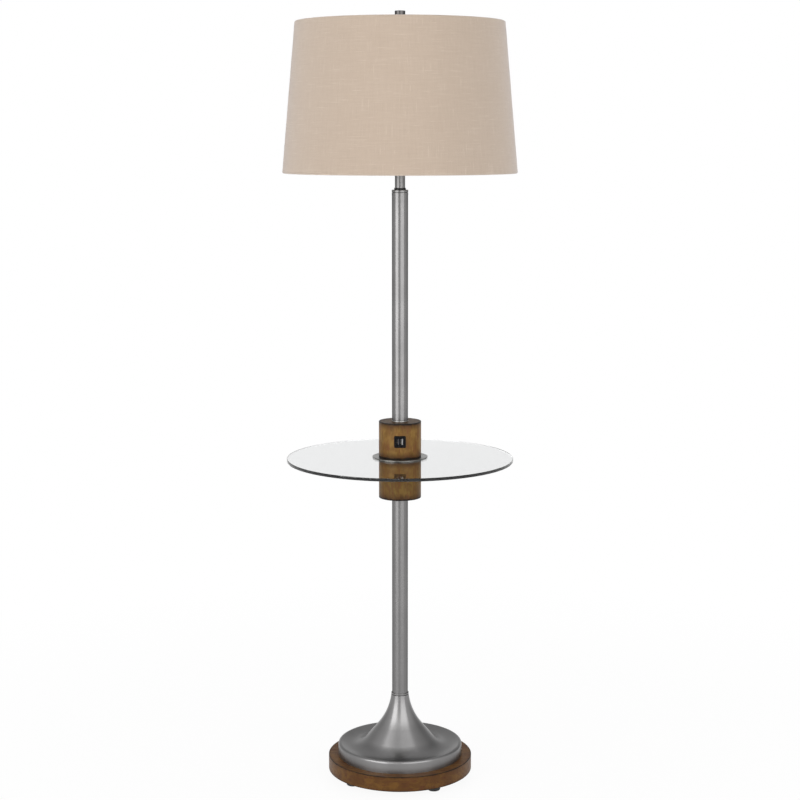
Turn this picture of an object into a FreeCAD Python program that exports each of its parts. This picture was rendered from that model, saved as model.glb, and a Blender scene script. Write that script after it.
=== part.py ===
import FreeCAD, Part

# Floor lamp with a round glass tray, two wooden blocks, a charging module and a tapered shade.
# Millimetres. Origin at the centre of the floor under the pole, +Z up, the module faces -Y.

import math
import os

from FreeCAD import Vector

# ---- Fits and gaps
FIT = 0.05            # radial gap of a pressed, threaded or turning piece in its hole
SEAT_GAP = 0.2        # gap under a piece that turns on its seat
ROOM = 0.3            # radial gap of a piece that passes through or drops into another
TURNED_EDGE = 0.5     # rounding of the rims of turned metal pieces

# ---- Feet
FOOT_R = 12.8
FOOT_HEIGHT = 14.0
FOOT_EDGE = 3.0
FOOT_CIRCLE_R = 116.0
FOOT_FIRST_ANGLE = 35.5      # degrees from the front (-Y) towards +X
FOOT_NAMES = ("foot_front_right", "foot_back_right", "foot_back_left", "foot_front_left")
FOOT_RECESS_R = 5.5
FOOT_RECESS_DEPTH = 7.0
FOOT_SCREW_R = 2.0
FOOT_SCREW_HEAD_R = 4.2
FOOT_SCREW_HEAD_T = 2.6
FOOT_SCREW_HEAD_EDGE = 1.0
SCREW_CROSS_WIDTH = 1.2
SCREW_CROSS_LENGTH = 5.0
SCREW_CROSS_DEPTH = 1.6
FOOT_SCREW_BITE = 15.0       # how far the screw goes into the plinth

# ---- Plinth
PLINTH_R = 145.0
PLINTH_T = 30.0
PLINTH_EDGE = 1.0
RECESS_R = 22.0
RECESS_DEPTH = 20.0
CHANNEL_R = 4.5
CHANNEL_RISE = 13.0          # channel axis above the plinth's underside
BUSHING_R = 6.0
BUSHING_LENGTH = 14.0
BUSHING_FLANGE_R = 8.0
BUSHING_FLANGE_T = 2.0
CORD_HOLE_R = 3.5

# ---- Threaded tubes, nuts and plugs
ROD_R = 5.0
ROD_BORE_R = 3.5
ROD_GRIP = 10.0              # thread length inside a plug
ROD_SPARE = 2.0              # thread that shows below the nut
NUT_FLATS = 16.0
NUT_T = 6.0
WASHER_R = 15.0
WASHER_T = 2.0
PLUG_T = 12.0

# ---- Base weight, cover and ring
WEIGHT_R = 114.0
WEIGHT_T = 12.0
COVER_WALL = 1.2
COVER_HEIGHT = 124.0         # from the plinth to the trumpet's mouth
COVER_CREST_HEIGHT = 24.5    # from the plinth to the rim's crest
COVER_RIM_R = 125.5
COVER_HOLE_R = 12.0
COVER_MOUTH_HEADING = -83.0  # degrees, the trumpet's slope at its mouth
COVER_SLOPE_HEADING = -50.0  # degrees, the trumpet's slope above the dish
COVER_DISH_HEADING = 20.0    # degrees, the slope from the dish up to the crest
COVER_FLARE_R = 120.0
COVER_DISH_R = 40.0
COVER_CREST_R = 4.5
RING_LIP = 1.8               # how far the rings stand out from the pole
RING_T = 2.7
RING_NECK_T = 1.3            # height of the dark groove under the ring
RING_NECK_INSET = 2.2

# ---- Poles
POLE_R = 15.875
POLE_WALL = 1.5
LOWER_POLE_LENGTH = 403.4
UPPER_POLE_LENGTH = 442.9
CAP_BAND = 10.8
CAP_EDGE = 1.2
CAP_LIP = 0.2
CAP_GROOVE = 1.0
CAP_GROOVE_DROP = 5.4         # from the cap's top to the groove's lower side

# ---- Blocks, tray and flange
BLOCK_R = 42.0
BLOCK_EDGE = 0.8
LOWER_BLOCK_HEIGHT = 74.1
UPPER_BLOCK_HEIGHT = 71.0
TRAY_R = 225.0
TRAY_T = 6.0
TRAY_EDGE = 1.2
GASKET_T = 0.5
GASKET_INSET = 2.0
FLANGE_R = 55.0
FLANGE_T = 1.8
FLANGE_EDGE = 0.5
BLOCK_RING_T = 2.0
BLOCK_RING_LIP = 0.4          # how far the ring stands out from the pole
BLOCK_RING_EDGE = 1.4

# ---- Charging module
MODULE_WIDTH = 23.0
MODULE_HEIGHT = 23.5
MODULE_CORNER = 2.5
MODULE_DEPTH = 18.5
MODULE_PROUD = 0.6           # how far its face stands out from the block
MODULE_WALL = 1.4
MODULE_EDGE = 0.5
PORT_PITCH = 7.4
PORT_WIDTH = 5.8
PORT_HEIGHT = 13.2
PORT_CORNER = 0.7
PORT_WALL = 0.35
PORT_DEPTH = 14.0
PORT_INSET = 0.6
TONGUE_WIDTH = 2.0
TONGUE_HEIGHT = 11.4
TONGUE_SHIFT = 0.9
TONGUE_SHORT = 1.2           # how far the tongue stays inside the shell's mouth
BOARD_T = 1.6
POCKET_ROOM = 0.15
LEAD_R = 1.6
LEAD_BEND_R = 15.0
LEAD_DROP = 6.0              # lead's start below the module's middle
CHANNEL_WIDTH = 10.0
WINDOW_WIDTH = 5.0

# ---- Neck
SEAT_RING_R = 11.5
SEAT_RING_T = 3.7
NECK_R = 10.0
NECK_WALL = 1.2
NECK_LENGTH = 48.3
NECK_RING_T = 3.0
NECK_SPIGOT = 2.0

# ---- Harp and saddle
SADDLE_T = 1.5
SADDLE_WIDTH = 12.0
SADDLE_HUB_R = 14.0
SADDLE_EAR = 13.0            # height of the upturned ends
SADDLE_BEND_R = 3.0
SADDLE_PEG = 7.0             # height of the pegs above the ears
HARP_HALF_WIDTH = 30.0
HARP_HEIGHT = 253.3          # saddle plate to the shade's seat
HARP_WIRE_R = 2.0
HARP_LEG = 26.0
HARP_FOOT_BEND_R = 25.0
HARP_SPREAD_HEADING = 60.0
HARP_BOW_R = 170.0
HARP_CLOSE_HEADING = 105.0
HARP_SHOULDER_R = 24.0
SLEEVE_R = 3.8
SLEEVE_LENGTH = 14.0
STUD_R = 3.0
STUD_LENGTH = 15.0
STUD_SEAT_R = 8.0
STUD_SEAT_T = 1.5
STUD_BLOCK_R = 5.0
STUD_BLOCK_WALL = 1.2

# ---- Lamp holder, switch and bulb
HOLDER_HUB_R = 8.0
HOLDER_HUB_HEIGHT = 8.0
HOLDER_CAP_R = 17.6
HOLDER_CAP_HEIGHT = 25.0
HOLDER_WALL = 0.8
HOLDER_SHELL_R = 16.7
HOLDER_SHELL_HEIGHT = 40.0
HOLDER_LAP = 6.0             # how far the shell sits down in the cap
HOLDER_LINER_WALL = 0.6
SWITCH_BODY_HEIGHT = 14.0
SCREW_SHELL_R = 13.7
SCREW_SHELL_WALL = 0.4
SCREW_SHELL_HEIGHT = 22.0
SCREW_SHELL_LIFT = 2.0
CONTACT_R = 4.0
CONTACT_T = 1.0
STEM_R = 1.5
STEM_LENGTH = 26.0
STEM_BURIED = 8.0
STEM_RISE = 9.0              # stem axis above the shell's lower edge
KNOB_R = 5.5
KNOB_LENGTH = 14.0
KNOB_PADDLE_T = 3.6
KNOB_HUB_LENGTH = 4.0
KNOB_TIP_R = 3.3             # rounding of the paddle's far corners
BULB_CAP_R = 13.0
BULB_CAP_HEIGHT = 22.0
BULB_FOOT_R = 4.6
BULB_FOOT_T = 3.0
BULB_NECK_R = 13.0
BULB_NECK_RUN = 4.0
BULB_NECK_BEND_R = 25.0
BULB_FLARE_HEADING = 68.0
BULB_R = 30.0
BULB_WALL = 0.8

# ---- Shade
SHADE_TOP_R = 202.6
SHADE_BOTTOM_R = 228.4
SHADE_HEIGHT = 289.0
SHADE_RING_WIRE_R = 1.4
ROLL_ROOM = 0.4              # gap between a shade ring and the linen rolled round it
FABRIC_T = 0.8
LINER_T = 0.5
TOP_ROLL = 150.0             # degrees that the linen goes round the top ring
BOTTOM_ROLL = 200.0          # degrees that it goes round the bottom ring
SPIDER_DROP = 6.4            # washer's top below the top ring's centre
SPIDER_WASHER_R = 14.0
SPIDER_WASHER_T = 2.0
SPIDER_WIRE_R = 1.3
SPIDER_ARMS = 3
SPIDER_FIRST_ANGLE = 90.0
SPIDER_BEND = 30.0           # length of the arm's rising end
SPIDER_ARM_UNDER = 1.2       # arm's end below the ring's centre

# ---- Finial
FINIAL_R = 10.05
FINIAL_HEIGHT = 29.8
FINIAL_FOOT_R = 6.5
FINIAL_FOOT_T = 4.0
FINIAL_CROWN = 0.8
FINIAL_THREAD_SPARE = 1.0


# ---- Helpers

def disc(radius, bottom, top):
    """Upright cylinder on the lamp's axis."""
    return Part.makeCylinder(radius, top - bottom, Vector(0, 0, bottom))


def tube(outer_r, inner_r, bottom, top):
    """Upright tube on the lamp's axis."""
    return disc(outer_r, bottom, top).cut(disc(inner_r, bottom, top))


def box(x_range, y_range, z_range):
    """Box between pairs of limits."""
    size = [high - low for low, high in (x_range, y_range, z_range)]
    return Part.makeBox(*size, Vector(x_range[0], y_range[0], z_range[0]))


def rod_along_y(radius, y_start, y_end, x, z):
    """Cylinder along Y between two places."""
    return Part.makeCylinder(radius, y_end - y_start, Vector(x, y_start, z), Vector(0, 1, 0))


def rounded_bar(width, height, corner, y_range, x, z):
    """Bar along Y with a rounded rectangular section centred at x, z."""
    bar = box((x - width / 2, x + width / 2), y_range, (z - height / 2, z + height / 2))
    edges = [edge for edge in bar.Edges if abs(edge.tangentAt(edge.FirstParameter).y) > 0.99]
    return bar.makeFillet(corner, edges)


def round_rims(solid, radius, rim_r, height):
    """Round the circular edges of one radius at one height."""
    rims = [
        edge for edge in solid.Edges
        if isinstance(edge.Curve, Part.Circle)
        and abs(edge.Curve.Radius - rim_r) < 1e-4
        and abs(edge.Curve.Center.z - height) < 1e-4
    ]
    return solid.makeFillet(radius, rims)


def ease_rims(solid, *rims):
    """Take the sharpness off the rims of a turned piece, each given as its radius and height."""
    for rim_r, height in rims:
        solid = round_rims(solid, TURNED_EDGE, rim_r, height)
    return solid


def polar(radius, degrees):
    """X and Y at a radius, turned from the front (-Y) towards +X."""
    angle = math.radians(degrees)
    return radius * math.sin(angle), -radius * math.cos(angle)


def polygon_edges(points):
    """Straight edges through points in the XZ plane, not closed."""
    corners = [Vector(x, 0, z) for x, z in points]
    return [Part.LineSegment(a, b).toShape() for a, b in zip(corners, corners[1:])]


def lathe(edges):
    """Solid turned about the lamp's axis from a closed outline in the XZ plane."""
    face = Part.Face(Part.Wire(edges))
    return face.revolve(Vector(0, 0, 0), Vector(0, 0, 1), 360)


def turned(points):
    """Solid turned from a closed polygon of radius and height pairs."""
    return lathe(polygon_edges(list(points) + [points[0]]))


class Trace:
    """Straight runs and tangent arcs walked in the XZ plane, so that walls stay parallel.

    shift moves the whole walked line to its left, and every arc keeps its centre.
    """

    def __init__(self, x, z, heading, shift=0.0):
        angle = math.radians(heading)
        self.heading = heading
        self.shift = shift
        self.place = Vector(x - shift * math.sin(angle), 0, z + shift * math.cos(angle))
        self.edges = []

    def run(self, length):
        angle = math.radians(self.heading)
        end = self.place + Vector(math.cos(angle), 0, math.sin(angle)) * length
        self.edges.append(Part.LineSegment(self.place, end).toShape())
        self.place = end
        return self

    def turn(self, radius, heading):
        side = 1 if heading > self.heading else -1
        walked_r = radius - side * self.shift
        start, end = math.radians(self.heading), math.radians(heading)

        def spoke(angle):
            return Vector(math.sin(angle), 0, -math.cos(angle)) * (side * walked_r)

        centre = self.place - spoke(start)
        middle, last = centre + spoke((start + end) / 2), centre + spoke(end)
        self.edges.append(Part.Arc(self.place, middle, last).toShape())
        self.place = last
        self.heading = heading
        return self

    def start(self):
        return self.edges[0].valueAt(self.edges[0].FirstParameter)


def line(start, end):
    """Straight edge between two places."""
    return Part.LineSegment(start, end).toShape()


def band(outer, inner):
    """Closed outline between two traces that were walked side by side."""
    ends = [line(outer.place, inner.place), line(inner.start(), outer.start())]
    return outer.edges + ends + inner.edges


def turn_step(radius, start, end):
    """X and Z that an arc adds when its heading goes from start to end, in degrees."""
    side = 1 if end > start else -1
    low, high = math.radians(start), math.radians(end)
    return side * radius * (math.sin(high) - math.sin(low)), side * radius * (math.cos(low) - math.cos(high))


def sweep_round(edges, radius):
    """Round bar along a chain of edges."""
    path = Part.Wire(edges)
    first = path.OrderedEdges[0]
    start = first.valueAt(first.FirstParameter)
    section = Part.Wire(Part.makeCircle(radius, start, first.tangentAt(first.FirstParameter)))
    return path.makePipeShell([section], True, False)


# ---- Levels, from the floor up

PLINTH_Z = FOOT_HEIGHT
PLINTH_TOP = PLINTH_Z + PLINTH_T
RECESS_TOP = PLINTH_Z + RECESS_DEPTH
COVER_TOP = PLINTH_TOP + COVER_HEIGHT
RING_Z = COVER_TOP + RING_NECK_T
LOWER_POLE_Z = RING_Z + RING_T
LOWER_BLOCK_Z = LOWER_POLE_Z + LOWER_POLE_LENGTH
LOWER_BLOCK_TOP = LOWER_BLOCK_Z + LOWER_BLOCK_HEIGHT
TRAY_Z = LOWER_BLOCK_TOP + GASKET_T
TRAY_TOP = TRAY_Z + TRAY_T
FLANGE_Z = TRAY_TOP + GASKET_T
UPPER_BLOCK_Z = FLANGE_Z + FLANGE_T
UPPER_BLOCK_TOP = UPPER_BLOCK_Z + UPPER_BLOCK_HEIGHT
UPPER_POLE_Z = UPPER_BLOCK_TOP + BLOCK_RING_T
CAP_Z = UPPER_POLE_Z + UPPER_POLE_LENGTH
CAP_TOP = CAP_Z + CAP_BAND
NECK_Z = CAP_TOP + SEAT_RING_T
NECK_TOP = NECK_Z + NECK_LENGTH
SADDLE_Z = NECK_TOP + NECK_RING_T
SADDLE_TOP = SADDLE_Z + SADDLE_T
HARP_JOINT_Z = SADDLE_TOP + SADDLE_EAR + SADDLE_PEG
HARP_SEAT_Z = SADDLE_TOP + HARP_HEIGHT
HARP_CROWN_Z = HARP_SEAT_Z - STUD_SEAT_T - HARP_WIRE_R
WASHER_Z = HARP_SEAT_Z + SEAT_GAP
SPIDER_TOP = WASHER_Z + SPIDER_WASHER_T
TOP_RING_Z = SPIDER_TOP + SPIDER_DROP
FINIAL_Z = SPIDER_TOP + SEAT_GAP
HOLDER_SHELL_Z = SADDLE_TOP + HOLDER_CAP_HEIGHT - HOLDER_LAP
STEM_Z = HOLDER_SHELL_Z + STEM_RISE
SWITCH_BODY_TOP = HOLDER_SHELL_Z + SWITCH_BODY_HEIGHT
BULB_Z = SWITCH_BODY_TOP + CONTACT_T + SEAT_GAP
MODULE_Z = UPPER_BLOCK_Z + UPPER_BLOCK_HEIGHT / 2
CHANNEL_Z = PLINTH_Z + CHANNEL_RISE

RING_R = POLE_R + RING_LIP
POLE_BORE_R = POLE_R - POLE_WALL
THREAD_R = ROD_R + FIT
PASS_R = ROD_R + ROOM
ROLL_R = SHADE_RING_WIRE_R + ROLL_ROOM + FABRIC_T


# ---- Base

def foot_place(index):
    """X and Y of one foot."""
    return polar(FOOT_CIRCLE_R, FOOT_FIRST_ANGLE + 360 * index / len(FOOT_NAMES))


def make_foot(index):
    """Turned rubber foot, recessed for its screw."""
    foot = round_rims(disc(FOOT_R, 0, FOOT_HEIGHT), FOOT_EDGE, FOOT_R, 0)
    foot = foot.cut(disc(FOOT_RECESS_R, 0, FOOT_RECESS_DEPTH))
    foot = foot.cut(disc(FOOT_SCREW_R + FIT, 0, FOOT_HEIGHT))
    foot.translate(Vector(*foot_place(index), 0))
    return foot


def make_foot_screw(index):
    """Pan-head wood screw, its head up against the foot's recess."""
    head_z = FOOT_RECESS_DEPTH - FOOT_SCREW_HEAD_T
    head = disc(FOOT_SCREW_HEAD_R, head_z, FOOT_RECESS_DEPTH)
    head = round_rims(head, FOOT_SCREW_HEAD_EDGE, FOOT_SCREW_HEAD_R, head_z)
    screw = head.fuse(disc(FOOT_SCREW_R, FOOT_RECESS_DEPTH, PLINTH_Z + FOOT_SCREW_BITE)).removeSplitter()
    long_side = (-SCREW_CROSS_LENGTH / 2, SCREW_CROSS_LENGTH / 2)
    short_side = (-SCREW_CROSS_WIDTH / 2, SCREW_CROSS_WIDTH / 2)
    for x_range, y_range in ((long_side, short_side), (short_side, long_side)):
        screw = screw.cut(box(x_range, y_range, (head_z, head_z + SCREW_CROSS_DEPTH)))
    screw.translate(Vector(*foot_place(index), 0))
    return screw


def make_plinth():
    """Wooden disc with pilot holes, a recess for the nut and a channel for the cord."""
    plinth = disc(PLINTH_R, PLINTH_Z, PLINTH_TOP)
    plinth = round_rims(plinth, PLINTH_EDGE, PLINTH_R, PLINTH_TOP)
    plinth = round_rims(plinth, PLINTH_EDGE, PLINTH_R, PLINTH_Z)
    plinth = plinth.cut(disc(RECESS_R, PLINTH_Z, RECESS_TOP))
    plinth = plinth.cut(disc(PASS_R, PLINTH_Z, PLINTH_TOP))
    for index in range(len(FOOT_NAMES)):
        pilot = disc(FOOT_SCREW_R + FIT, PLINTH_Z, PLINTH_Z + FOOT_SCREW_BITE)
        pilot.translate(Vector(*foot_place(index), 0))
        plinth = plinth.cut(pilot)
    flat_y = bushing_seat_y()
    plinth = plinth.cut(rod_along_y(CHANNEL_R, 0, PLINTH_R, 0, CHANNEL_Z))
    plinth = plinth.cut(rod_along_y(BUSHING_R + FIT, flat_y - bushing_reach(), PLINTH_R, 0, CHANNEL_Z))
    return plinth.cut(rod_along_y(BUSHING_FLANGE_R + ROOM, flat_y, PLINTH_R, 0, CHANNEL_Z))


def bushing_seat_y():
    """Y of the flat that the bushing's flange sits on, cut just into the plinth's round edge."""
    return math.sqrt(PLINTH_R ** 2 - (BUSHING_FLANGE_R + ROOM) ** 2)


def bushing_reach():
    """Length of the bushing inside the plinth."""
    return BUSHING_LENGTH - BUSHING_FLANGE_T


def make_cord_bushing():
    """Rubber bushing in the plinth's back edge, where a cord goes in."""
    flat_y = bushing_seat_y()
    outer_y = flat_y + BUSHING_FLANGE_T
    bushing = rod_along_y(BUSHING_R, flat_y - bushing_reach(), flat_y, 0, CHANNEL_Z)
    bushing = bushing.fuse(rod_along_y(BUSHING_FLANGE_R, flat_y, outer_y, 0, CHANNEL_Z)).removeSplitter()
    return bushing.cut(rod_along_y(CORD_HOLE_R, flat_y - bushing_reach(), outer_y, 0, CHANNEL_Z))


def make_nut():
    """Hexagonal nut under the washer in the plinth's recess."""
    corner_r = NUT_FLATS / math.sqrt(3)
    top = RECESS_TOP - WASHER_T
    corners = [Vector(*polar(corner_r, 60 * side), top - NUT_T) for side in range(6)]
    outline = Part.makePolygon(corners + corners[:1])
    nut = Part.Face(outline).extrude(Vector(0, 0, NUT_T))
    return nut.cut(disc(THREAD_R, top - NUT_T, top))


def cover_runs():
    """Lengths of the cover's two straight stretches, from its heights and rim radius."""
    turns = (
        turn_step(COVER_FLARE_R, COVER_MOUTH_HEADING, COVER_SLOPE_HEADING),
        turn_step(COVER_DISH_R, COVER_SLOPE_HEADING, COVER_DISH_HEADING),
    )
    to_rim = turn_step(COVER_CREST_R, COVER_DISH_HEADING, -90)[0]
    to_crest = turn_step(COVER_CREST_R, COVER_DISH_HEADING, 0)[1]
    out = COVER_RIM_R - RING_R - to_rim - sum(step[0] for step in turns)
    down = COVER_CREST_HEIGHT - COVER_HEIGHT - to_crest - sum(step[1] for step in turns)
    slope, dish = math.radians(COVER_SLOPE_HEADING), math.radians(COVER_DISH_HEADING)
    scale = math.sin(dish - slope)
    slope_run = (out * math.sin(dish) - down * math.cos(dish)) / scale
    dish_run = (down * math.cos(slope) - out * math.sin(slope)) / scale
    return slope_run, dish_run


def cover_outline(inset):
    """Closed outline of the space within the cover, drawn in from its outer face by inset."""
    slope_run, dish_run = cover_runs()
    trace = Trace(RING_R, COVER_TOP, COVER_MOUTH_HEADING, -inset)
    trace.turn(COVER_FLARE_R, COVER_SLOPE_HEADING).run(slope_run)
    trace.turn(COVER_DISH_R, COVER_DISH_HEADING).run(dish_run)
    trace.turn(COVER_CREST_R, -90).run(trace.place.z - PLINTH_TOP)
    mouth = trace.start()
    closing = [(trace.place.x, PLINTH_TOP), (0, PLINTH_TOP), (0, mouth.z), (mouth.x, mouth.z)]
    return trace.edges + polygon_edges(closing)


def make_base_cover():
    """Spun metal shell: rounded rim, shallow dish and trumpet, closed by a flat mouth."""
    inside = lathe(cover_outline(COVER_WALL))
    inside = inside.common(disc(COVER_RIM_R, PLINTH_TOP, COVER_TOP - COVER_WALL))
    return lathe(cover_outline(0)).cut(inside).cut(disc(COVER_HOLE_R, PLINTH_TOP, COVER_TOP))


def make_base_ring():
    """Turned ring on the trumpet's mouth, with a spigot and a dark groove under its lip."""
    neck_r = RING_R - RING_NECK_INSET
    spigot_r = COVER_HOLE_R - FIT
    ring = turned([
        (PASS_R, COVER_TOP - 2 * COVER_WALL),
        (spigot_r, COVER_TOP - 2 * COVER_WALL),
        (spigot_r, COVER_TOP),
        (neck_r, COVER_TOP),
        (neck_r, RING_Z),
        (RING_R, RING_Z),
        (RING_R, LOWER_POLE_Z),
        (PASS_R, LOWER_POLE_Z),
    ])
    return ease_rims(ring, (RING_R, RING_Z), (RING_R, LOWER_POLE_Z))


def make_base():
    pieces = {name: make_foot(index) for index, name in enumerate(FOOT_NAMES)}
    pieces["foot_screws"] = Part.makeCompound([make_foot_screw(i) for i in range(len(FOOT_NAMES))])
    pieces["plinth"] = make_plinth()
    pieces["cord_bushing"] = make_cord_bushing()
    pieces["base_weight"] = tube(WEIGHT_R, PASS_R, PLINTH_TOP, PLINTH_TOP + WEIGHT_T)
    pieces["base_washer"] = tube(WASHER_R, PASS_R, RECESS_TOP - WASHER_T, RECESS_TOP)
    pieces["base_nut"] = make_nut()
    rod_z = RECESS_TOP - WASHER_T - NUT_T - ROD_SPARE
    pieces["base_rod"] = tube(ROD_R, ROD_BORE_R, rod_z, LOWER_POLE_Z + ROD_GRIP)
    pieces["base_cover"] = make_base_cover()
    pieces["base_ring"] = make_base_ring()
    return pieces


# ---- Stem and table

def make_plug(bottom):
    """Threaded plug pressed into a pole."""
    return tube(POLE_BORE_R - FIT, THREAD_R, bottom, bottom + PLUG_T)


def make_block(bottom, top):
    """Wooden block with eased edges, bored for the threaded tube."""
    block = disc(BLOCK_R, bottom, top)
    for height in (bottom, top):
        block = round_rims(block, BLOCK_EDGE, BLOCK_R, height)
    return block.cut(disc(PASS_R, bottom, top))


def make_tray():
    """Round clear glass tray with polished edges."""
    tray = disc(TRAY_R, TRAY_Z, TRAY_TOP)
    for height in (TRAY_Z, TRAY_TOP):
        tray = round_rims(tray, TRAY_EDGE, TRAY_R, height)
    return tray.cut(disc(PASS_R, TRAY_Z, TRAY_TOP))


def module_front():
    """Y of the module's flat face."""
    return -BLOCK_R - MODULE_PROUD


def module_back():
    """Y of the back of the module's housing."""
    return module_front() + MODULE_DEPTH


def lead_start():
    """Place on the back of the circuit board where the lead begins."""
    return Vector(0, module_back(), MODULE_Z - LEAD_DROP)


def make_upper_block():
    """Upper block with the module's pocket and the lead's channel into the threaded tube."""
    block = make_block(UPPER_BLOCK_Z, UPPER_BLOCK_TOP)
    pocket = rounded_bar(
        MODULE_WIDTH + 2 * POCKET_ROOM, MODULE_HEIGHT + 2 * POCKET_ROOM, MODULE_CORNER,
        (module_front() - MODULE_PROUD, module_back() + POCKET_ROOM), 0, MODULE_Z,
    )
    low = lead_start().z - CHANNEL_WIDTH / 2
    high = lead_start().z + LEAD_BEND_R
    channel = box((-CHANNEL_WIDTH / 2, CHANNEL_WIDTH / 2), (module_back(), 0), (low, high))
    return block.cut(pocket).cut(channel)


def make_table_rod():
    """Threaded tube through both blocks and the tray, with a window for the lead."""
    rod = tube(ROD_R, ROD_BORE_R, LOWER_BLOCK_Z - ROD_GRIP, UPPER_POLE_Z + ROD_GRIP)
    low = lead_start().z - LEAD_R
    high = lead_start().z + LEAD_BEND_R
    return rod.cut(box((-WINDOW_WIDTH / 2, WINDOW_WIDTH / 2), (-ROD_R, 0), (low, high)))


def make_pole_cap():
    """Turned cap in the upper pole's end, with a fine groove round its band."""
    band_r = POLE_R + CAP_LIP
    cap = turned([
        (THREAD_R, CAP_Z - PLUG_T),
        (POLE_BORE_R - FIT, CAP_Z - PLUG_T),
        (POLE_BORE_R - FIT, CAP_Z),
        (band_r, CAP_Z),
        (band_r, CAP_TOP),
        (THREAD_R, CAP_TOP),
    ])
    groove_z = CAP_TOP - CAP_GROOVE_DROP
    cap = cap.cut(tube(band_r + CAP_GROOVE, band_r - CAP_GROOVE, groove_z, groove_z + CAP_GROOVE))
    return round_rims(cap, CAP_EDGE, band_r, CAP_TOP)


def make_block_ring():
    """Narrow ring with a rounded upper edge, between the upper block and the upper pole."""
    ring_r = POLE_R + BLOCK_RING_LIP
    ring = tube(ring_r, PASS_R, UPPER_BLOCK_TOP, UPPER_POLE_Z)
    return round_rims(ring, BLOCK_RING_EDGE, ring_r, UPPER_POLE_Z)


def make_stem():
    gasket_r = BLOCK_R - GASKET_INSET
    flange = round_rims(disc(FLANGE_R, FLANGE_Z, UPPER_BLOCK_Z), FLANGE_EDGE, FLANGE_R, UPPER_BLOCK_Z)
    return {
        "lower_pole": tube(POLE_R, POLE_BORE_R, LOWER_POLE_Z, LOWER_BLOCK_Z),
        "lower_pole_bottom_plug": make_plug(LOWER_POLE_Z),
        "lower_pole_top_plug": make_plug(LOWER_BLOCK_Z - PLUG_T),
        "lower_block": make_block(LOWER_BLOCK_Z, LOWER_BLOCK_TOP),
        "table_rod": make_table_rod(),
        "tray_gasket_below": tube(gasket_r, PASS_R, LOWER_BLOCK_TOP, TRAY_Z),
        "glass_tray": make_tray(),
        "tray_gasket_above": tube(FLANGE_R - GASKET_INSET, PASS_R, TRAY_TOP, FLANGE_Z),
        "tray_flange": flange.cut(disc(PASS_R, FLANGE_Z, UPPER_BLOCK_Z)),
        "upper_block": make_upper_block(),
        "block_ring": make_block_ring(),
        "upper_pole": tube(POLE_R, POLE_BORE_R, UPPER_POLE_Z, CAP_Z),
        "upper_pole_plug": make_plug(UPPER_POLE_Z),
        "pole_cap": make_pole_cap(),
    }


# ---- Charging module

def port_x(side):
    """X of a port's middle, side -1 on the left and 1 on the right."""
    return side * PORT_PITCH / 2


def port_mouth():
    """Y of the port shells' mouths."""
    return module_front() + PORT_INSET


def board_front():
    """Y of the circuit board's front face."""
    return module_back() - BOARD_T


def make_port_shell(side):
    """Folded metal shell of one port."""
    y_range = (port_mouth(), port_mouth() + PORT_DEPTH)
    shell = rounded_bar(PORT_WIDTH, PORT_HEIGHT, PORT_CORNER, y_range, port_x(side), MODULE_Z)
    width, height = PORT_WIDTH - 2 * PORT_WALL, PORT_HEIGHT - 2 * PORT_WALL
    hollow = rounded_bar(width, height, PORT_WALL, y_range, port_x(side), MODULE_Z)
    return shell.cut(hollow)


def make_port_tongue(side):
    """Contact tongue of one port, held by a base that fills the shell's back end."""
    mouth = port_mouth() + TONGUE_SHORT
    back = board_front()
    middle = port_x(side) + TONGUE_SHIFT
    tongue = box(
        (middle - TONGUE_WIDTH / 2, middle + TONGUE_WIDTH / 2), (mouth, back),
        (MODULE_Z - TONGUE_HEIGHT / 2, MODULE_Z + TONGUE_HEIGHT / 2),
    )
    width = PORT_WIDTH - 2 * PORT_WALL - 2 * FIT
    height = PORT_HEIGHT - 2 * PORT_WALL - 2 * FIT
    base_y = (port_mouth() + PORT_DEPTH / 2, back)
    base = rounded_bar(width, height, PORT_WALL, base_y, port_x(side), MODULE_Z)
    return tongue.fuse(base).removeSplitter()


def make_module_housing():
    """Black plastic housing: a rounded square face with two port openings, open at the back."""
    y_range = (module_front(), module_back())
    housing = rounded_bar(MODULE_WIDTH, MODULE_HEIGHT, MODULE_CORNER, y_range, 0, MODULE_Z)
    face = [edge for edge in housing.Edges if edge.BoundBox.YMax < module_front() + 1e-6]
    housing = housing.makeFillet(MODULE_EDGE, face)
    for side in (-1, 1):
        opening = rounded_bar(
            PORT_WIDTH + 2 * FIT, PORT_HEIGHT + 2 * FIT, PORT_CORNER, y_range, port_x(side), MODULE_Z)
        housing = housing.cut(opening)
    width, height = MODULE_WIDTH - 2 * MODULE_WALL, MODULE_HEIGHT - 2 * MODULE_WALL
    seat = box(
        (-width / 2, width / 2), (board_front(), module_back()),
        (MODULE_Z - height / 2, MODULE_Z + height / 2),
    )
    return housing.cut(seat)


def make_lead():
    """Lead from the circuit board up the threaded tube and the pole to the switch body."""
    start = lead_start()
    bend_y = -LEAD_BEND_R
    bend_end = Vector(0, 0, start.z + LEAD_BEND_R)
    middle = Vector(
        0, bend_y + LEAD_BEND_R * math.sin(math.pi / 4), bend_end.z - LEAD_BEND_R * math.cos(math.pi / 4))
    bend_start = Vector(0, bend_y, start.z)
    edges = [
        line(start, bend_start),
        Part.Arc(bend_start, middle, bend_end).toShape(),
        line(bend_end, Vector(0, 0, HOLDER_SHELL_Z)),
    ]
    return sweep_round(edges, LEAD_R)


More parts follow.
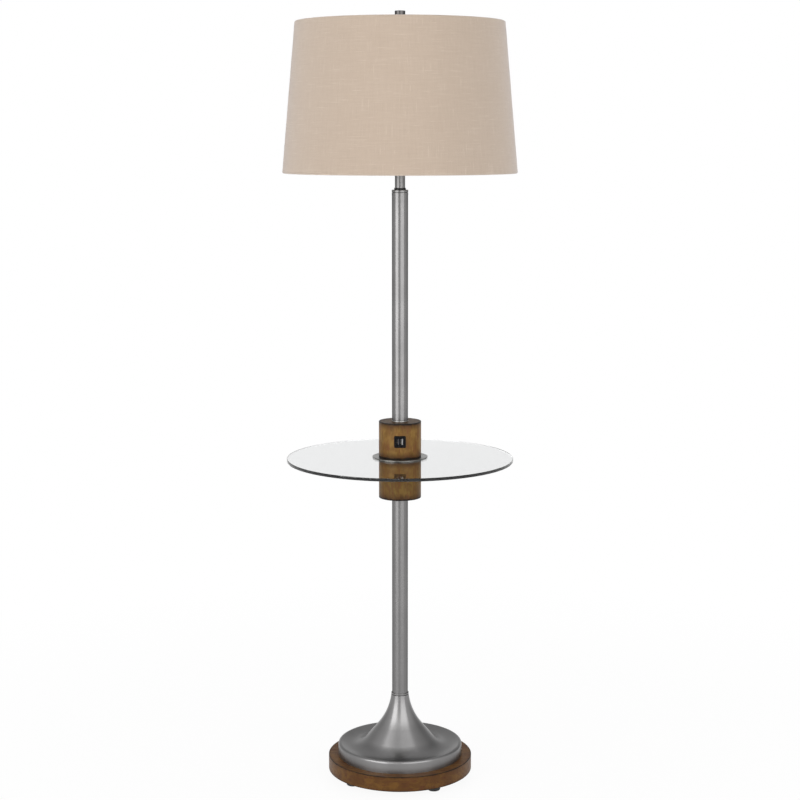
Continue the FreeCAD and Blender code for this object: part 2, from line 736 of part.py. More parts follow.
def make_module():
    width = MODULE_WIDTH - 2 * MODULE_WALL - 2 * FIT
    height = MODULE_HEIGHT - 2 * MODULE_WALL - 2 * FIT
    board = box(
        (-width / 2, width / 2), (board_front(), module_back()),
        (MODULE_Z - height / 2, MODULE_Z + height / 2),
    )
    pieces = {"module_housing": make_module_housing(), "circuit_board": board, "holder_lead": make_lead()}
    for side, name in ((-1, "left"), (1, "right")):
        pieces["port_shell_" + name] = make_port_shell(side)
        pieces["port_tongue_" + name] = make_port_tongue(side)
    return pieces


# ---- Neck, saddle and harp

def make_seat_ring():
    """Dark ring between the pole cap and the neck, with a spigot up into the neck."""
    spigot_r = NECK_R - NECK_WALL - FIT
    ring = turned([
        (PASS_R, CAP_TOP),
        (SEAT_RING_R, CAP_TOP),
        (SEAT_RING_R, NECK_Z),
        (spigot_r, NECK_Z),
        (spigot_r, NECK_Z + NECK_SPIGOT),
        (PASS_R, NECK_Z + NECK_SPIGOT),
    ])
    return ease_rims(ring, (SEAT_RING_R, CAP_TOP), (SEAT_RING_R, NECK_Z))


def make_neck_ring():
    """Ring on the neck's upper end, with a spigot down into it."""
    spigot_r = NECK_R - NECK_WALL - FIT
    ring = turned([
        (PASS_R, NECK_TOP - NECK_SPIGOT),
        (spigot_r, NECK_TOP - NECK_SPIGOT),
        (spigot_r, NECK_TOP),
        (SEAT_RING_R, NECK_TOP),
        (SEAT_RING_R, SADDLE_Z),
        (PASS_R, SADDLE_Z),
    ])
    return ease_rims(ring, (SEAT_RING_R, NECK_TOP), (SEAT_RING_R, SADDLE_Z))


def make_saddle():
    """Bent strip with a round hub, and a peg on each upturned end for the harp."""
    half = HARP_HALF_WIDTH + SADDLE_T / 2
    flat = half - SADDLE_BEND_R

    def strip_edge(shift):
        trace = Trace(-half, SADDLE_TOP + SADDLE_EAR, -90, shift)
        trace.run(SADDLE_T + SADDLE_EAR - SADDLE_BEND_R).turn(SADDLE_BEND_R, 0).run(2 * flat)
        return trace.turn(SADDLE_BEND_R, 90).run(SADDLE_T + SADDLE_EAR - SADDLE_BEND_R)

    strip = Part.Face(Part.Wire(Part.__sortEdges__(band(strip_edge(0), strip_edge(SADDLE_T)))))
    saddle = strip.extrude(Vector(0, SADDLE_WIDTH, 0))
    saddle.translate(Vector(0, -SADDLE_WIDTH / 2, 0))
    saddle = saddle.fuse(disc(SADDLE_HUB_R, SADDLE_Z, SADDLE_TOP))
    for side in (-1, 1):
        peg_z = SADDLE_TOP + SADDLE_EAR / 2
        peg = Part.makeCylinder(HARP_WIRE_R, HARP_JOINT_Z - peg_z, Vector(side * HARP_HALF_WIDTH, 0, peg_z))
        saddle = saddle.fuse(peg)
    return saddle.removeSplitter().cut(disc(PASS_R, SADDLE_Z, SADDLE_TOP))


def harp_trace():
    """Right half of the harp's line, from the saddle's peg up to the crown."""
    trace = Trace(HARP_HALF_WIDTH, HARP_JOINT_Z, 90)
    trace.run(HARP_LEG).turn(HARP_FOOT_BEND_R, HARP_SPREAD_HEADING)
    trace.turn(HARP_BOW_R, HARP_CLOSE_HEADING)
    shoulder = turn_step(HARP_SHOULDER_R, HARP_CLOSE_HEADING, 180)
    rise = HARP_CROWN_Z - trace.place.z - shoulder[1]
    trace.run(rise / math.sin(math.radians(HARP_CLOSE_HEADING)))
    trace.turn(HARP_SHOULDER_R, 180)
    return trace.run(trace.place.x)


def make_harp():
    """Bent wire loop round the bulb."""
    right = sweep_round(harp_trace().edges, HARP_WIRE_R)
    left = right.mirror(Vector(0, 0, 0), Vector(1, 0, 0))
    return right.fuse(left).removeSplitter()


def make_harp_stud():
    """Crown piece that grips the wire, with the shade's seat and a threaded stud."""
    block_z = HARP_CROWN_Z - HARP_WIRE_R - STUD_BLOCK_WALL
    stud = disc(STUD_BLOCK_R, block_z, HARP_SEAT_Z)
    stud = stud.fuse(disc(STUD_SEAT_R, HARP_SEAT_Z - STUD_SEAT_T, HARP_SEAT_Z))
    stud = stud.fuse(disc(STUD_R, HARP_SEAT_Z, HARP_SEAT_Z + STUD_LENGTH)).removeSplitter()
    wire_hole = Part.makeCylinder(
        HARP_WIRE_R + FIT / 2, 2 * STUD_SEAT_R, Vector(-STUD_SEAT_R, 0, HARP_CROWN_Z), Vector(1, 0, 0))
    return stud.cut(wire_hole)


def make_sleeve(side):
    """Sliding sleeve that locks one harp leg to its peg."""
    bottom = HARP_JOINT_Z - SLEEVE_LENGTH / 2
    sleeve = tube(SLEEVE_R, HARP_WIRE_R + FIT, bottom, bottom + SLEEVE_LENGTH)
    sleeve.translate(Vector(side * HARP_HALF_WIDTH, 0, 0))
    return sleeve


def make_head():
    return {
        "seat_ring": make_seat_ring(),
        "neck_tube": tube(NECK_R, NECK_R - NECK_WALL, NECK_Z, NECK_TOP),
        "neck_ring": make_neck_ring(),
        "neck_rod": tube(ROD_R, ROD_BORE_R, CAP_TOP - ROD_GRIP, SADDLE_TOP + HOLDER_HUB_HEIGHT),
        "harp_saddle": make_saddle(),
        "harp": make_harp(),
        "harp_stud": make_harp_stud(),
        "harp_sleeve_left": make_sleeve(-1),
        "harp_sleeve_right": make_sleeve(1),
    }


# ---- Lamp holder, switch and bulb

def stem_hole(gap):
    """Hole for the switch stem, out through the front of the holder."""
    return rod_along_y(STEM_R + gap, -HOLDER_CAP_R - ROOM, -HOLDER_CAP_R + STEM_BURIED, 0, STEM_Z)


def make_holder_cap():
    """Cup with a threaded hub."""
    hub = tube(HOLDER_HUB_R, THREAD_R, SADDLE_TOP, SADDLE_TOP + HOLDER_HUB_HEIGHT)
    bend_r = (HOLDER_CAP_R - HOLDER_HUB_R) / 2

    def bowl_edge(shift):
        trace = Trace(HOLDER_HUB_R, SADDLE_TOP + HOLDER_HUB_HEIGHT - 2 * HOLDER_WALL, 0, shift)
        trace.run(bend_r).turn(bend_r, 90)
        return trace.run(SADDLE_TOP + HOLDER_CAP_HEIGHT - trace.place.z)

    bowl = lathe(Part.__sortEdges__(band(bowl_edge(0), bowl_edge(HOLDER_WALL))))
    lip = tube(HOLDER_HUB_R + HOLDER_WALL, THREAD_R, SADDLE_TOP + HOLDER_HUB_HEIGHT - 2 * HOLDER_WALL,
               SADDLE_TOP + HOLDER_HUB_HEIGHT - HOLDER_WALL)
    return hub.fuse([bowl, lip]).removeSplitter()


def make_knob():
    """Turned hub with a flat paddle to grip."""
    start = -HOLDER_CAP_R + STEM_BURIED - STEM_LENGTH
    hub = rod_along_y(KNOB_R, start, start + KNOB_HUB_LENGTH, 0, STEM_Z)
    paddle = box((-KNOB_R, KNOB_R), (start - KNOB_LENGTH + KNOB_HUB_LENGTH, start),
                 (STEM_Z - KNOB_PADDLE_T / 2, STEM_Z + KNOB_PADDLE_T / 2))
    tips = [edge for edge in paddle.Edges if edge.BoundBox.YMax < start - 1e-6
            and abs(edge.tangentAt(edge.FirstParameter).z) > 0.99]
    paddle = paddle.makeFillet(KNOB_TIP_R, tips)
    knob = hub.fuse(paddle).removeSplitter()
    return knob.cut(rod_along_y(STEM_R, start, start + KNOB_HUB_LENGTH, 0, STEM_Z))


def make_bulb_cap():
    """Screw cap with a smaller contact foot."""
    return turned([
        (0, BULB_Z),
        (BULB_FOOT_R, BULB_Z),
        (BULB_CAP_R, BULB_Z + BULB_FOOT_T),
        (BULB_CAP_R, BULB_Z + BULB_FOOT_T + BULB_CAP_HEIGHT),
        (0, BULB_Z + BULB_FOOT_T + BULB_CAP_HEIGHT),
    ])


def make_bulb_glass():
    """Pear-shaped frosted glass, hollow."""
    bottom = BULB_Z + BULB_FOOT_T + BULB_CAP_HEIGHT
    flare = math.radians(BULB_FLARE_HEADING)
    neck_out = turn_step(BULB_NECK_BEND_R, 90, BULB_FLARE_HEADING)[0]
    flare_run = (BULB_R * math.sin(flare) - BULB_NECK_R - neck_out) / math.cos(flare)

    def wall(shift):
        trace = Trace(BULB_NECK_R, bottom, 90, shift)
        trace.run(BULB_NECK_RUN).turn(BULB_NECK_BEND_R, BULB_FLARE_HEADING)
        return trace.run(flare_run).turn(BULB_R, 180)

    return lathe(Part.__sortEdges__(band(wall(0), wall(BULB_WALL))))


def make_holder():
    shell_top = HOLDER_SHELL_Z + HOLDER_SHELL_HEIGHT
    shell_bore_r = HOLDER_SHELL_R - HOLDER_WALL
    liner_r = shell_bore_r - FIT
    body_r = liner_r - HOLDER_LINER_WALL - FIT
    screw_z = SWITCH_BODY_TOP + SCREW_SHELL_LIFT
    screw_bore_r = SCREW_SHELL_R - SCREW_SHELL_WALL
    body = disc(body_r, HOLDER_SHELL_Z, SWITCH_BODY_TOP)
    seat = tube(SCREW_SHELL_R, screw_bore_r - FIT, SWITCH_BODY_TOP, screw_z)
    shell = tube(HOLDER_SHELL_R, shell_bore_r, HOLDER_SHELL_Z, shell_top)
    liner = tube(liner_r, liner_r - HOLDER_LINER_WALL, HOLDER_SHELL_Z, shell_top)
    stem_tip = -HOLDER_CAP_R + STEM_BURIED
    return {
        "holder_cap": make_holder_cap().cut(stem_hole(ROOM)),
        "holder_shell": shell.cut(stem_hole(ROOM)),
        "holder_liner": liner.cut(stem_hole(ROOM)),
        "switch_body": body.fuse(seat).removeSplitter().cut(stem_hole(FIT)),
        "screw_shell": tube(SCREW_SHELL_R, screw_bore_r, screw_z, screw_z + SCREW_SHELL_HEIGHT),
        "holder_contact": disc(CONTACT_R, SWITCH_BODY_TOP, SWITCH_BODY_TOP + CONTACT_T),
        "switch_stem": rod_along_y(STEM_R, stem_tip - STEM_LENGTH, stem_tip, 0, STEM_Z),
        "switch_knob": make_knob(),
        "bulb_cap": make_bulb_cap(),
        "bulb_glass": make_bulb_glass(),
    }


# ---- Shade and finial

def shade_line():
    """Ring centre radii, bottom ring height and slope heading of the shade's wall, going down."""
    top_r, bottom_r = SHADE_TOP_R - ROLL_R, SHADE_BOTTOM_R - ROLL_R
    drop = SHADE_HEIGHT - 2 * ROLL_R
    heading = -math.degrees(math.atan2(drop, bottom_r - top_r))
    return top_r, bottom_r, TOP_RING_Z - drop, heading


def shade_wall(shift):
    """Line along the shade's outer face, over both rings; shift is negative towards the inside."""
    top_r, bottom_r, bottom_z, heading = shade_line()
    start = math.radians(heading + TOP_ROLL)
    trace = Trace(top_r - ROLL_R * math.sin(start), TOP_RING_Z + ROLL_R * math.cos(start),
                  heading + TOP_ROLL, shift)
    trace.turn(ROLL_R, heading)
    trace.run(math.hypot(bottom_r - top_r, TOP_RING_Z - bottom_z))
    return trace.turn(ROLL_R, heading - BOTTOM_ROLL)


def make_fabric():
    """Linen cover, rolled round the top and the bottom ring."""
    return lathe(Part.__sortEdges__(band(shade_wall(0), shade_wall(-FABRIC_T))))


def make_liner():
    """Stiff plastic liner on the linen's inner face, between the rings."""
    top_r, bottom_r, bottom_z, heading = shade_line()
    length = math.hypot(bottom_r - top_r, TOP_RING_Z - bottom_z)
    margin = 2 * SHADE_RING_WIRE_R
    slope = math.radians(heading)
    first = Vector(top_r, 0, TOP_RING_Z) + Vector(math.cos(slope), 0, math.sin(slope)) * margin

    def face(shift):
        return Trace(first.x, first.z, heading, shift).run(length - 2 * margin)

    outer, inner = ROLL_R - FABRIC_T, ROLL_R - FABRIC_T - LINER_T
    return lathe(Part.__sortEdges__(band(face(outer), face(inner))))


def make_spider_hub():
    """Washer that lies on the harp's seat, under the finial."""
    return tube(SPIDER_WASHER_R, STUD_R + FIT, WASHER_Z, SPIDER_TOP)


def make_spider_arms():
    """Bent wires from the washer's rim to the top ring, brazed to both."""
    top_r = shade_line()[0]
    middle_z = WASHER_Z + SPIDER_WASHER_T / 2
    knee_r = top_r - SPIDER_BEND
    edges = polygon_edges([
        (SPIDER_WASHER_R - SPIDER_WIRE_R, middle_z),
        (knee_r, middle_z),
        (top_r, TOP_RING_Z - SPIDER_ARM_UNDER),
    ])
    knee = Part.makeSphere(SPIDER_WIRE_R, Vector(knee_r, 0, middle_z))
    arm = knee.fuse([sweep_round([edge], SPIDER_WIRE_R) for edge in edges]).removeSplitter()
    arm = arm.cut(Part.makeTorus(top_r, SHADE_RING_WIRE_R, Vector(0, 0, TOP_RING_Z)))
    arm = arm.cut(disc(SPIDER_WASHER_R, WASHER_Z - SPIDER_WIRE_R, SPIDER_TOP + SPIDER_WIRE_R))
    arm = arm.cut(tube(SHADE_BOTTOM_R, top_r, WASHER_Z, TOP_RING_Z + SPIDER_DROP))
    arms = []
    for index in range(SPIDER_ARMS):
        arms.append(arm.copy())
        arms[-1].rotate(Vector(0, 0, 0), Vector(0, 0, 1), SPIDER_FIRST_ANGLE + 360 * index / SPIDER_ARMS)
    return Part.makeCompound(arms)


def make_finial():
    """Knob with a foot, a plain drum and a slightly domed top, on a blind thread."""
    top = FINIAL_Z + FINIAL_HEIGHT
    shoulder = top - FINIAL_CROWN
    dome_r = (FINIAL_R ** 2 + FINIAL_CROWN ** 2) / (2 * FINIAL_CROWN)
    dome = Part.makeSphere(dome_r, Vector(0, 0, top - dome_r))
    crown = dome.common(disc(FINIAL_R, shoulder, top))
    drum = disc(FINIAL_R, FINIAL_Z + FINIAL_FOOT_T, shoulder)
    foot = disc(FINIAL_FOOT_R, FINIAL_Z, FINIAL_Z + FINIAL_FOOT_T)
    knob = foot.fuse(drum).removeSplitter()
    knob = ease_rims(knob, (FINIAL_R, FINIAL_Z + FINIAL_FOOT_T), (FINIAL_FOOT_R, FINIAL_Z))
    thread_top = HARP_SEAT_Z + STUD_LENGTH + FINIAL_THREAD_SPARE
    return knob.fuse(crown).cut(disc(STUD_R + FIT, FINIAL_Z, thread_top))


def make_shade():
    top_r, bottom_r, bottom_z, _ = shade_line()
    return {
        "spider_hub": make_spider_hub(),
        "spider_arms": make_spider_arms(),
        "shade_top_ring": Part.makeTorus(top_r, SHADE_RING_WIRE_R, Vector(0, 0, TOP_RING_Z)),
        "shade_bottom_ring": Part.makeTorus(bottom_r, SHADE_RING_WIRE_R, Vector(0, 0, bottom_z)),
        "shade_fabric": make_fabric(),
        "shade_liner": make_liner(),
        "finial": make_finial(),
    }


def main():
    os.makedirs("parts", exist_ok=True)
    pieces = {}
    for group in (make_base(), make_stem(), make_module(), make_head(), make_holder(), make_shade()):
        pieces.update(group)
    for name, shape in pieces.items():
        if not shape.isValid() or any(not solid.isClosed() for solid in shape.Solids):
            print("not a sound solid:", name)
        print(f"{name:24s} solids {len(shape.Solids)}  volume {shape.Volume:12.1f} mm3")
        shape.exportStep(os.path.join("parts", name + ".step"))
    print("pieces", len(pieces), "height", round(FINIAL_Z + FINIAL_HEIGHT, 2))


main()
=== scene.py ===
"""Floor lamp with a glass tray table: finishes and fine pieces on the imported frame, studio and camera."""

import logging
import math
from dataclasses import dataclass
from enum import Enum
from typing import ClassVar, Sequence

import bmesh
import bpy
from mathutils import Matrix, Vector, noise


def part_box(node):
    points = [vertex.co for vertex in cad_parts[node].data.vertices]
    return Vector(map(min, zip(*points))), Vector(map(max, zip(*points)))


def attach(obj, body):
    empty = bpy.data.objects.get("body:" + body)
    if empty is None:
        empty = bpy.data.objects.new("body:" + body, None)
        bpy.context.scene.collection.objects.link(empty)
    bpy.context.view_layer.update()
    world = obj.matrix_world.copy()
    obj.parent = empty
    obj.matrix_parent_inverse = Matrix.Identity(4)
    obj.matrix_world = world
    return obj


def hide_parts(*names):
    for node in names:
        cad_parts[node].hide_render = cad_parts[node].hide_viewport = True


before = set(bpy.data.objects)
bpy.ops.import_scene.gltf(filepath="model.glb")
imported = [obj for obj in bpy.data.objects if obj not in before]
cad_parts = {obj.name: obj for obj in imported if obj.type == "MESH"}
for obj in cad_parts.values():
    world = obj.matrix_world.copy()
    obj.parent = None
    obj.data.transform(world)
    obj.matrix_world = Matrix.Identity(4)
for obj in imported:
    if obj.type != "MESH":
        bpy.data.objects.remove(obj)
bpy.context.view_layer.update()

LOG = logging.getLogger("floor_lamp")
MM = 0.001
Node = bpy.types.Node
Socket = bpy.types.NodeSocket
Tree = bpy.types.NodeTree
Material = bpy.types.Material
Piece = bpy.types.Object
Point = tuple[float, float, float]
Shape = tuple[list[Point], list[tuple[int, ...]]]


# ---- Colour and shader helpers


def linear(hex_colour: str) -> tuple[float, float, float, float]:
    """Turn an sRGB hex colour into linear red, green, blue and alpha.

    Args:
        hex_colour: The colour as "#RRGGBB".

    Returns:
        Linear values from 0 to 1, with alpha 1.
    """
    shares = [int(hex_colour[i:i + 2], 16) / 255 for i in (1, 3, 5)]
    parts = [s / 12.92 if s <= 0.04045 else ((s + 0.055) / 1.055) ** 2.4 for s in shares]
    return (parts[0], parts[1], parts[2], 1.0)


def per_mm(size_mm: float) -> float:
    """Texture scale at which one cell of a pattern is this many millimetres."""
    return 1 / (size_mm * MM)


def add_node(tree: Tree, kind: str, settings: dict | None = None, links: dict | None = None) -> Node:
    """Add a shader node with its settings and links.

    Args:
        tree: The node tree that gets the node.
        kind: The node's Blender type.
        settings: Values by property name, or by input name or number.
        links: Output sockets by the name or number of the input that they feed.

    Returns:
        The new node.
    """
    node = tree.nodes.new(kind)
    for key, value in (settings or {}).items():
        if isinstance(key, str) and hasattr(node, key):
            setattr(node, key, value)
        else:
            node.inputs[key].default_value = value
    for key, source in (links or {}).items():
        tree.links.new(source, node.inputs[key])
    return node


class Finish:
    """A surface finish. Each subclass wires one material, which is made once."""

    name: str

    def material(self) -> Material:
        """Return this finish's material, made and wired on the first call."""
        material = bpy.data.materials.get(self.name)
        if material is None:
            material = bpy.data.materials.new(self.name)
            material.use_nodes = True
            tree = material.node_tree
            tree.nodes.clear()
            output = add_node(tree, "ShaderNodeOutputMaterial")
            tree.links.new(self.wire(tree, output).outputs[0], output.inputs["Surface"])
        return material

    def wire(self, tree: Tree, output: Node) -> Node:
        """Add the finish's nodes and return its shader.

        Args:
            tree: The material's node tree.
            output: The material's output node, for a volume.

        Returns:
            The shader node for the surface.
        """
        raise NotImplementedError


def noise_at(tree: Tree, place: Socket, scale: float = 1.0, detail: float = 1.0) -> Socket:
    """Noise at a place that was worked out, about 0.25 to 0.75."""
    return add_node(tree, "ShaderNodeTexNoise", {"Scale": scale, "Detail": detail}, {0: place}).outputs[0]


def grain(tree: Tree, cell_mm: float | Sequence[float], detail: float = 3.0,
          distortion: float = 0.0) -> Socket:
    """Add noise on object coordinates.

    Args:
        tree: The material's node tree.
        cell_mm: Size of a cell, the same every way or for each axis.
        detail: How many finer layers lie on the first one.
        distortion: How much the cells are bent.

    Returns:
        The noise, about 0.25 to 0.75.
    """
    sizes = [cell_mm] * 3 if isinstance(cell_mm, float) else cell_mm
    scale = [per_mm(size) for size in sizes]
    place = add_node(tree, "ShaderNodeTexCoord")
    scaled = add_node(tree, "ShaderNodeMapping", {"Scale": scale}, {"Vector": place.outputs["Object"]})
    settings = {"Scale": 1.0, "Detail": detail, "Roughness": 0.55, "Distortion": distortion}
    return add_node(tree, "ShaderNodeTexNoise", settings, {"Vector": scaled.outputs[0]}).outputs[0]


def spread(tree: Tree, source: Socket, low: float, high: float,
           start: float = 0.25, end: float = 0.75) -> Socket:
    """Map a value from start..end to low..high, held at both ends."""
    settings = {"From Min": start, "From Max": end, "To Min": low, "To Max": high}
    return add_node(tree, "ShaderNodeMapRange", settings, {"Value": source}).outputs[0]


def feed(tree: Tree, node: Node, values: dict[int | str, Socket | float | str]) -> Node:
    """Fill a node's inputs.

    Args:
        tree: The node's tree.
        node: The node.
        values: By input number or name: a socket to link, a number, or a colour in hex.

    Returns:
        The same node.
    """
    for key, value in values.items():
        if isinstance(value, Socket):
            tree.links.new(value, node.inputs[key])
        else:
            node.inputs[key].default_value = linear(value) if isinstance(value, str) else value
    return node


def reckon(tree: Tree, operation: str, *values: Socket | float) -> Socket:
    """Result of one step of arithmetic on sockets and numbers."""
    node = add_node(tree, "ShaderNodeMath", {"operation": operation})
    return feed(tree, node, dict(enumerate(values))).outputs[0]


def mix_colours(tree: Tree, share: Socket, first: Socket | str, second: Socket | str) -> Socket:
    """Mix two colours, each a socket or in hex, by the second one's share."""
    node = add_node(tree, "ShaderNodeMix", {"data_type": "RGBA"})
    return feed(tree, node, {0: share, 6: first, 7: second}).outputs[2]


def mix_numbers(tree: Tree, share: Socket, first: Socket | float, second: Socket | float) -> Socket:
    """Mix two numbers by the second one's share."""
    node = add_node(tree, "ShaderNodeMix", {"data_type": "FLOAT"})
    return feed(tree, node, {0: share, 2: first, 3: second}).outputs[0]


def bump(tree: Tree, height: Socket, depth_mm: float, strength: float = 1.0) -> Socket:
    """Normal of a surface with bumps of a real depth in millimetres."""
    settings = {"Distance": depth_mm * MM, "Strength": strength}
    return add_node(tree, "ShaderNodeBump", settings, {"Height": height}).outputs[0]


def diagonal(tree: Tree, one: Socket, other: Socket) -> Socket:
    """Length across two distances that stand square to each other."""
    both = add_node(tree, "ShaderNodeCombineXYZ", links={0: one, 1: other})
    return add_node(tree, "ShaderNodeVectorMath", {"operation": "LENGTH"}, {0: both.outputs[0]}).outputs[1]


def surface(tree: Tree, settings: dict, tone: Socket, rough: Socket | float, normal: Socket) -> Node:
    """Shader with its settings, and with colour, roughness and normal from sockets or a number."""
    node = add_node(tree, "ShaderNodeBsdfPrincipled", settings)
    return feed(tree, node, {"Base Color": tone, "Roughness": rough, "Normal": normal})


def off_axis(tree: Tree) -> tuple[Socket, Socket]:
    """Distance from the lamp's axis, and height, of the shaded point."""
    place = add_node(tree, "ShaderNodeTexCoord")
    parts = add_node(tree, "ShaderNodeSeparateXYZ", links={0: place.outputs["Object"]})
    return diagonal(tree, parts.outputs[0], parts.outputs[1]), parts.outputs[2]


# ---- Metal finishes


class BrushLines(Enum):
    """Which way a metal piece was brushed or turned."""

    AROUND = "fine lines round the pole's axis"
    SPUN = "fine circles left by the spinning roller"
    DRAWN = "no lines, drawn wire or rolled strip"


@dataclass(frozen=True)
class SatinNickel(Finish):
    """Nickel plate over belt-brushed or spun steel.

    The eye sees a soft grey metal whose highlights stay narrow across the brush lines' run
    and smear along the piece, with faint cloudy wiping marks.
    """

    name: str
    colour: str = "#828181"
    cloud: str = "#7A7979"
    roughness: float = 0.28
    anisotropy: float = 0.8
    lines: BrushLines = BrushLines.AROUND
    line_mm: float = 1.4  # real brush lines are about 0.1 mm; drawn coarser, or they would not show
    line_run_mm: float = 60.0
    line_depth_mm: float = 0.0005
    cloud_mm: float = 55.0
    edge: str = "#FFFFFF"  # the plate's tint at a grazing angle; a darker one dims a tube's sides
    groove_r: float = 0.0  # inside this radius, and below groove_top, painted shade darkens a turned groove
    groove_top: float = 0.0
    no_shade_in: float = 0.1 * MM  # painted shade starts this far in from groove_r, and is full from the next depth in
    full_shade_in: float = 0.5 * MM
    # Colour of the painted shade in the turned groove.
    groove_shade: str = "#2C2A29"

    def wire(self, tree: Tree, output: Node) -> Node:
        """Brush lines drive roughness and a very low bump; clouds tint the colour; grooves get painted shade.
        """
        if self.lines is BrushLines.SPUN:
            lines = self._spun_lines(tree)
        else:
            across = self.line_mm if self.lines is BrushLines.AROUND else self.line_run_mm
            lines = grain(tree, (self.line_run_mm, self.line_run_mm, across), detail=1.0)
        clouds = grain(tree, self.cloud_mm)
        tone = mix_colours(tree, spread(tree, clouds, 0.0, 1.0, 0.3, 0.7), self.colour, self.cloud)
        if self.groove_r:
            # Painted shade darkens the groove's bottom.
            tone = mix_colours(tree, self._groove_shade_share(tree), tone, self.groove_shade)
        fine = spread(tree, lines, self.roughness - 0.01, self.roughness + 0.015)
        rough = reckon(tree, "ADD", fine, spread(tree, clouds, -0.015, 0.025))
        tangent = add_node(tree, "ShaderNodeTangent", {"direction_type": "RADIAL", "axis": "Z"})
        settings = {
            "Metallic": 1.0, "Anisotropic": 0.0 if self.lines is BrushLines.DRAWN else self.anisotropy,
            "Anisotropic Rotation": 0.25, "Specular Tint": linear(self.edge)}
        shader = surface(tree, settings, tone, rough, bump(tree, lines, self.line_depth_mm))
        return feed(tree, shader, {"Tangent": tangent.outputs[0]})

    def _groove_shade_share(self, tree: Tree) -> Socket:
        """Share of painted shade: all of it at the groove's bottom, none on the band beside it."""
        radius, height = off_axis(tree)
        sunk = spread(tree, radius, 1.0, 0.0, self.groove_r - self.full_shade_in, self.groove_r - self.no_shade_in)
        return reckon(tree, "MULTIPLY", sunk, reckon(tree, "LESS_THAN", height, self.groove_top))

    def _spun_lines(self, tree: Tree) -> Socket:
        """Noise that is even round the axis and changes along the piece's outline."""
        radius, height = off_axis(tree)
        outline = add_node(tree, "ShaderNodeCombineXYZ", links={0: radius, 2: height})
        return noise_at(tree, outline.outputs[0], per_mm(self.line_mm))


@dataclass(frozen=True)
class PlainMetal(Finish):
    """Rolled, cast, dipped or zinc-plated metal without brush lines.

    The eye sees a mottle of two tones, and small pits or crystals at the grit's size.
    """

    name: str
    colour: str
    second: str
    roughness: float = 0.3
    grit_mm: float = 1.2
    grit_depth_mm: float = 0.01
    mottle_mm: float = 9.0
    metallic: float = 1.0

    def wire(self, tree: Tree, output: Node) -> Node:
        """Mottle mixes two tones; grit drives roughness and bump."""
        mottle = grain(tree, self.mottle_mm)
        grit = grain(tree, self.grit_mm, detail=4.0)
        tone = mix_colours(tree, spread(tree, mottle, 0.0, 1.0, 0.35, 0.65), self.colour, self.second)
        rough = spread(tree, grit, self.roughness - 0.05, self.roughness + 0.08)
        dents = bump(tree, grit, self.grit_depth_mm)
        return surface(tree, {"Metallic": self.metallic}, tone, rough, dents)


# ---- Plastics, rubber, card and glass


@dataclass(frozen=True)
class Moulded(Finish):
    """Injection-moulded or dipped plastic, rubber or card.

    The eye sees one colour that drifts a little, with the mould's fine texture in the sheen.
    """

    name: str
    colour: str
    second: str
    roughness: float = 0.4
    specular: float = 0.5
    texture_mm: float = 0.6
    texture_depth_mm: float = 0.01
    drift_mm: float = 14.0
    coat: float = 0.0
    glow_through: float = 0.0

    def wire(self, tree: Tree, output: Node) -> Node:
        """Slow drift in colour, fine texture in roughness and bump."""
        drift = grain(tree, self.drift_mm, detail=2.0)
        texture = grain(tree, self.texture_mm)
        tone = mix_colours(tree, drift, self.colour, self.second)
        rough = spread(tree, texture, self.roughness - 0.05, self.roughness + 0.07)
        settings = {"Specular IOR Level": self.specular, "Coat Weight": self.coat, "Coat Roughness": 0.08,
                    "Subsurface Weight": self.glow_through, "Subsurface Scale": 4 * MM}
        return surface(tree, settings, tone, rough, bump(tree, texture, self.texture_depth_mm))


@dataclass(frozen=True)
class FloatGlass(Finish):
    """Clear float glass, cut round, with a ground and polished edge.

    The eye sees nearly nothing through its 6 mm and a green black along its edge, because
    iron in the glass swallows the light of the long way through.
    """

    name: str = "glass_float_polished_edge"
    ior: float = 1.52
    absorb_colour: tuple[float, float, float, float] = (0.755, 0.775, 0.785, 1.0)
    absorb_per_m: float = 38.0
    smear_mm: float = 90.0

    def wire(self, tree: Tree, output: Node) -> Node:
        """Smooth transmission with faint wiping smears, and absorption inside."""
        smears = grain(tree, self.smear_mm, detail=4.0)
        rough = spread(tree, smears, 0.0, 0.02, 0.45, 0.8)
        settings = {"Color": self.absorb_colour, "Density": self.absorb_per_m}
        volume = add_node(tree, "ShaderNodeVolumeAbsorption", settings)
        tree.links.new(volume.outputs[0], output.inputs["Volume"])
        settings = {"Base Color": (1, 1, 1, 1), "Transmission Weight": 1.0, "IOR": self.ior}
        return add_node(tree, "ShaderNodeBsdfPrincipled", settings, {"Roughness": rough})


# ---- Wood


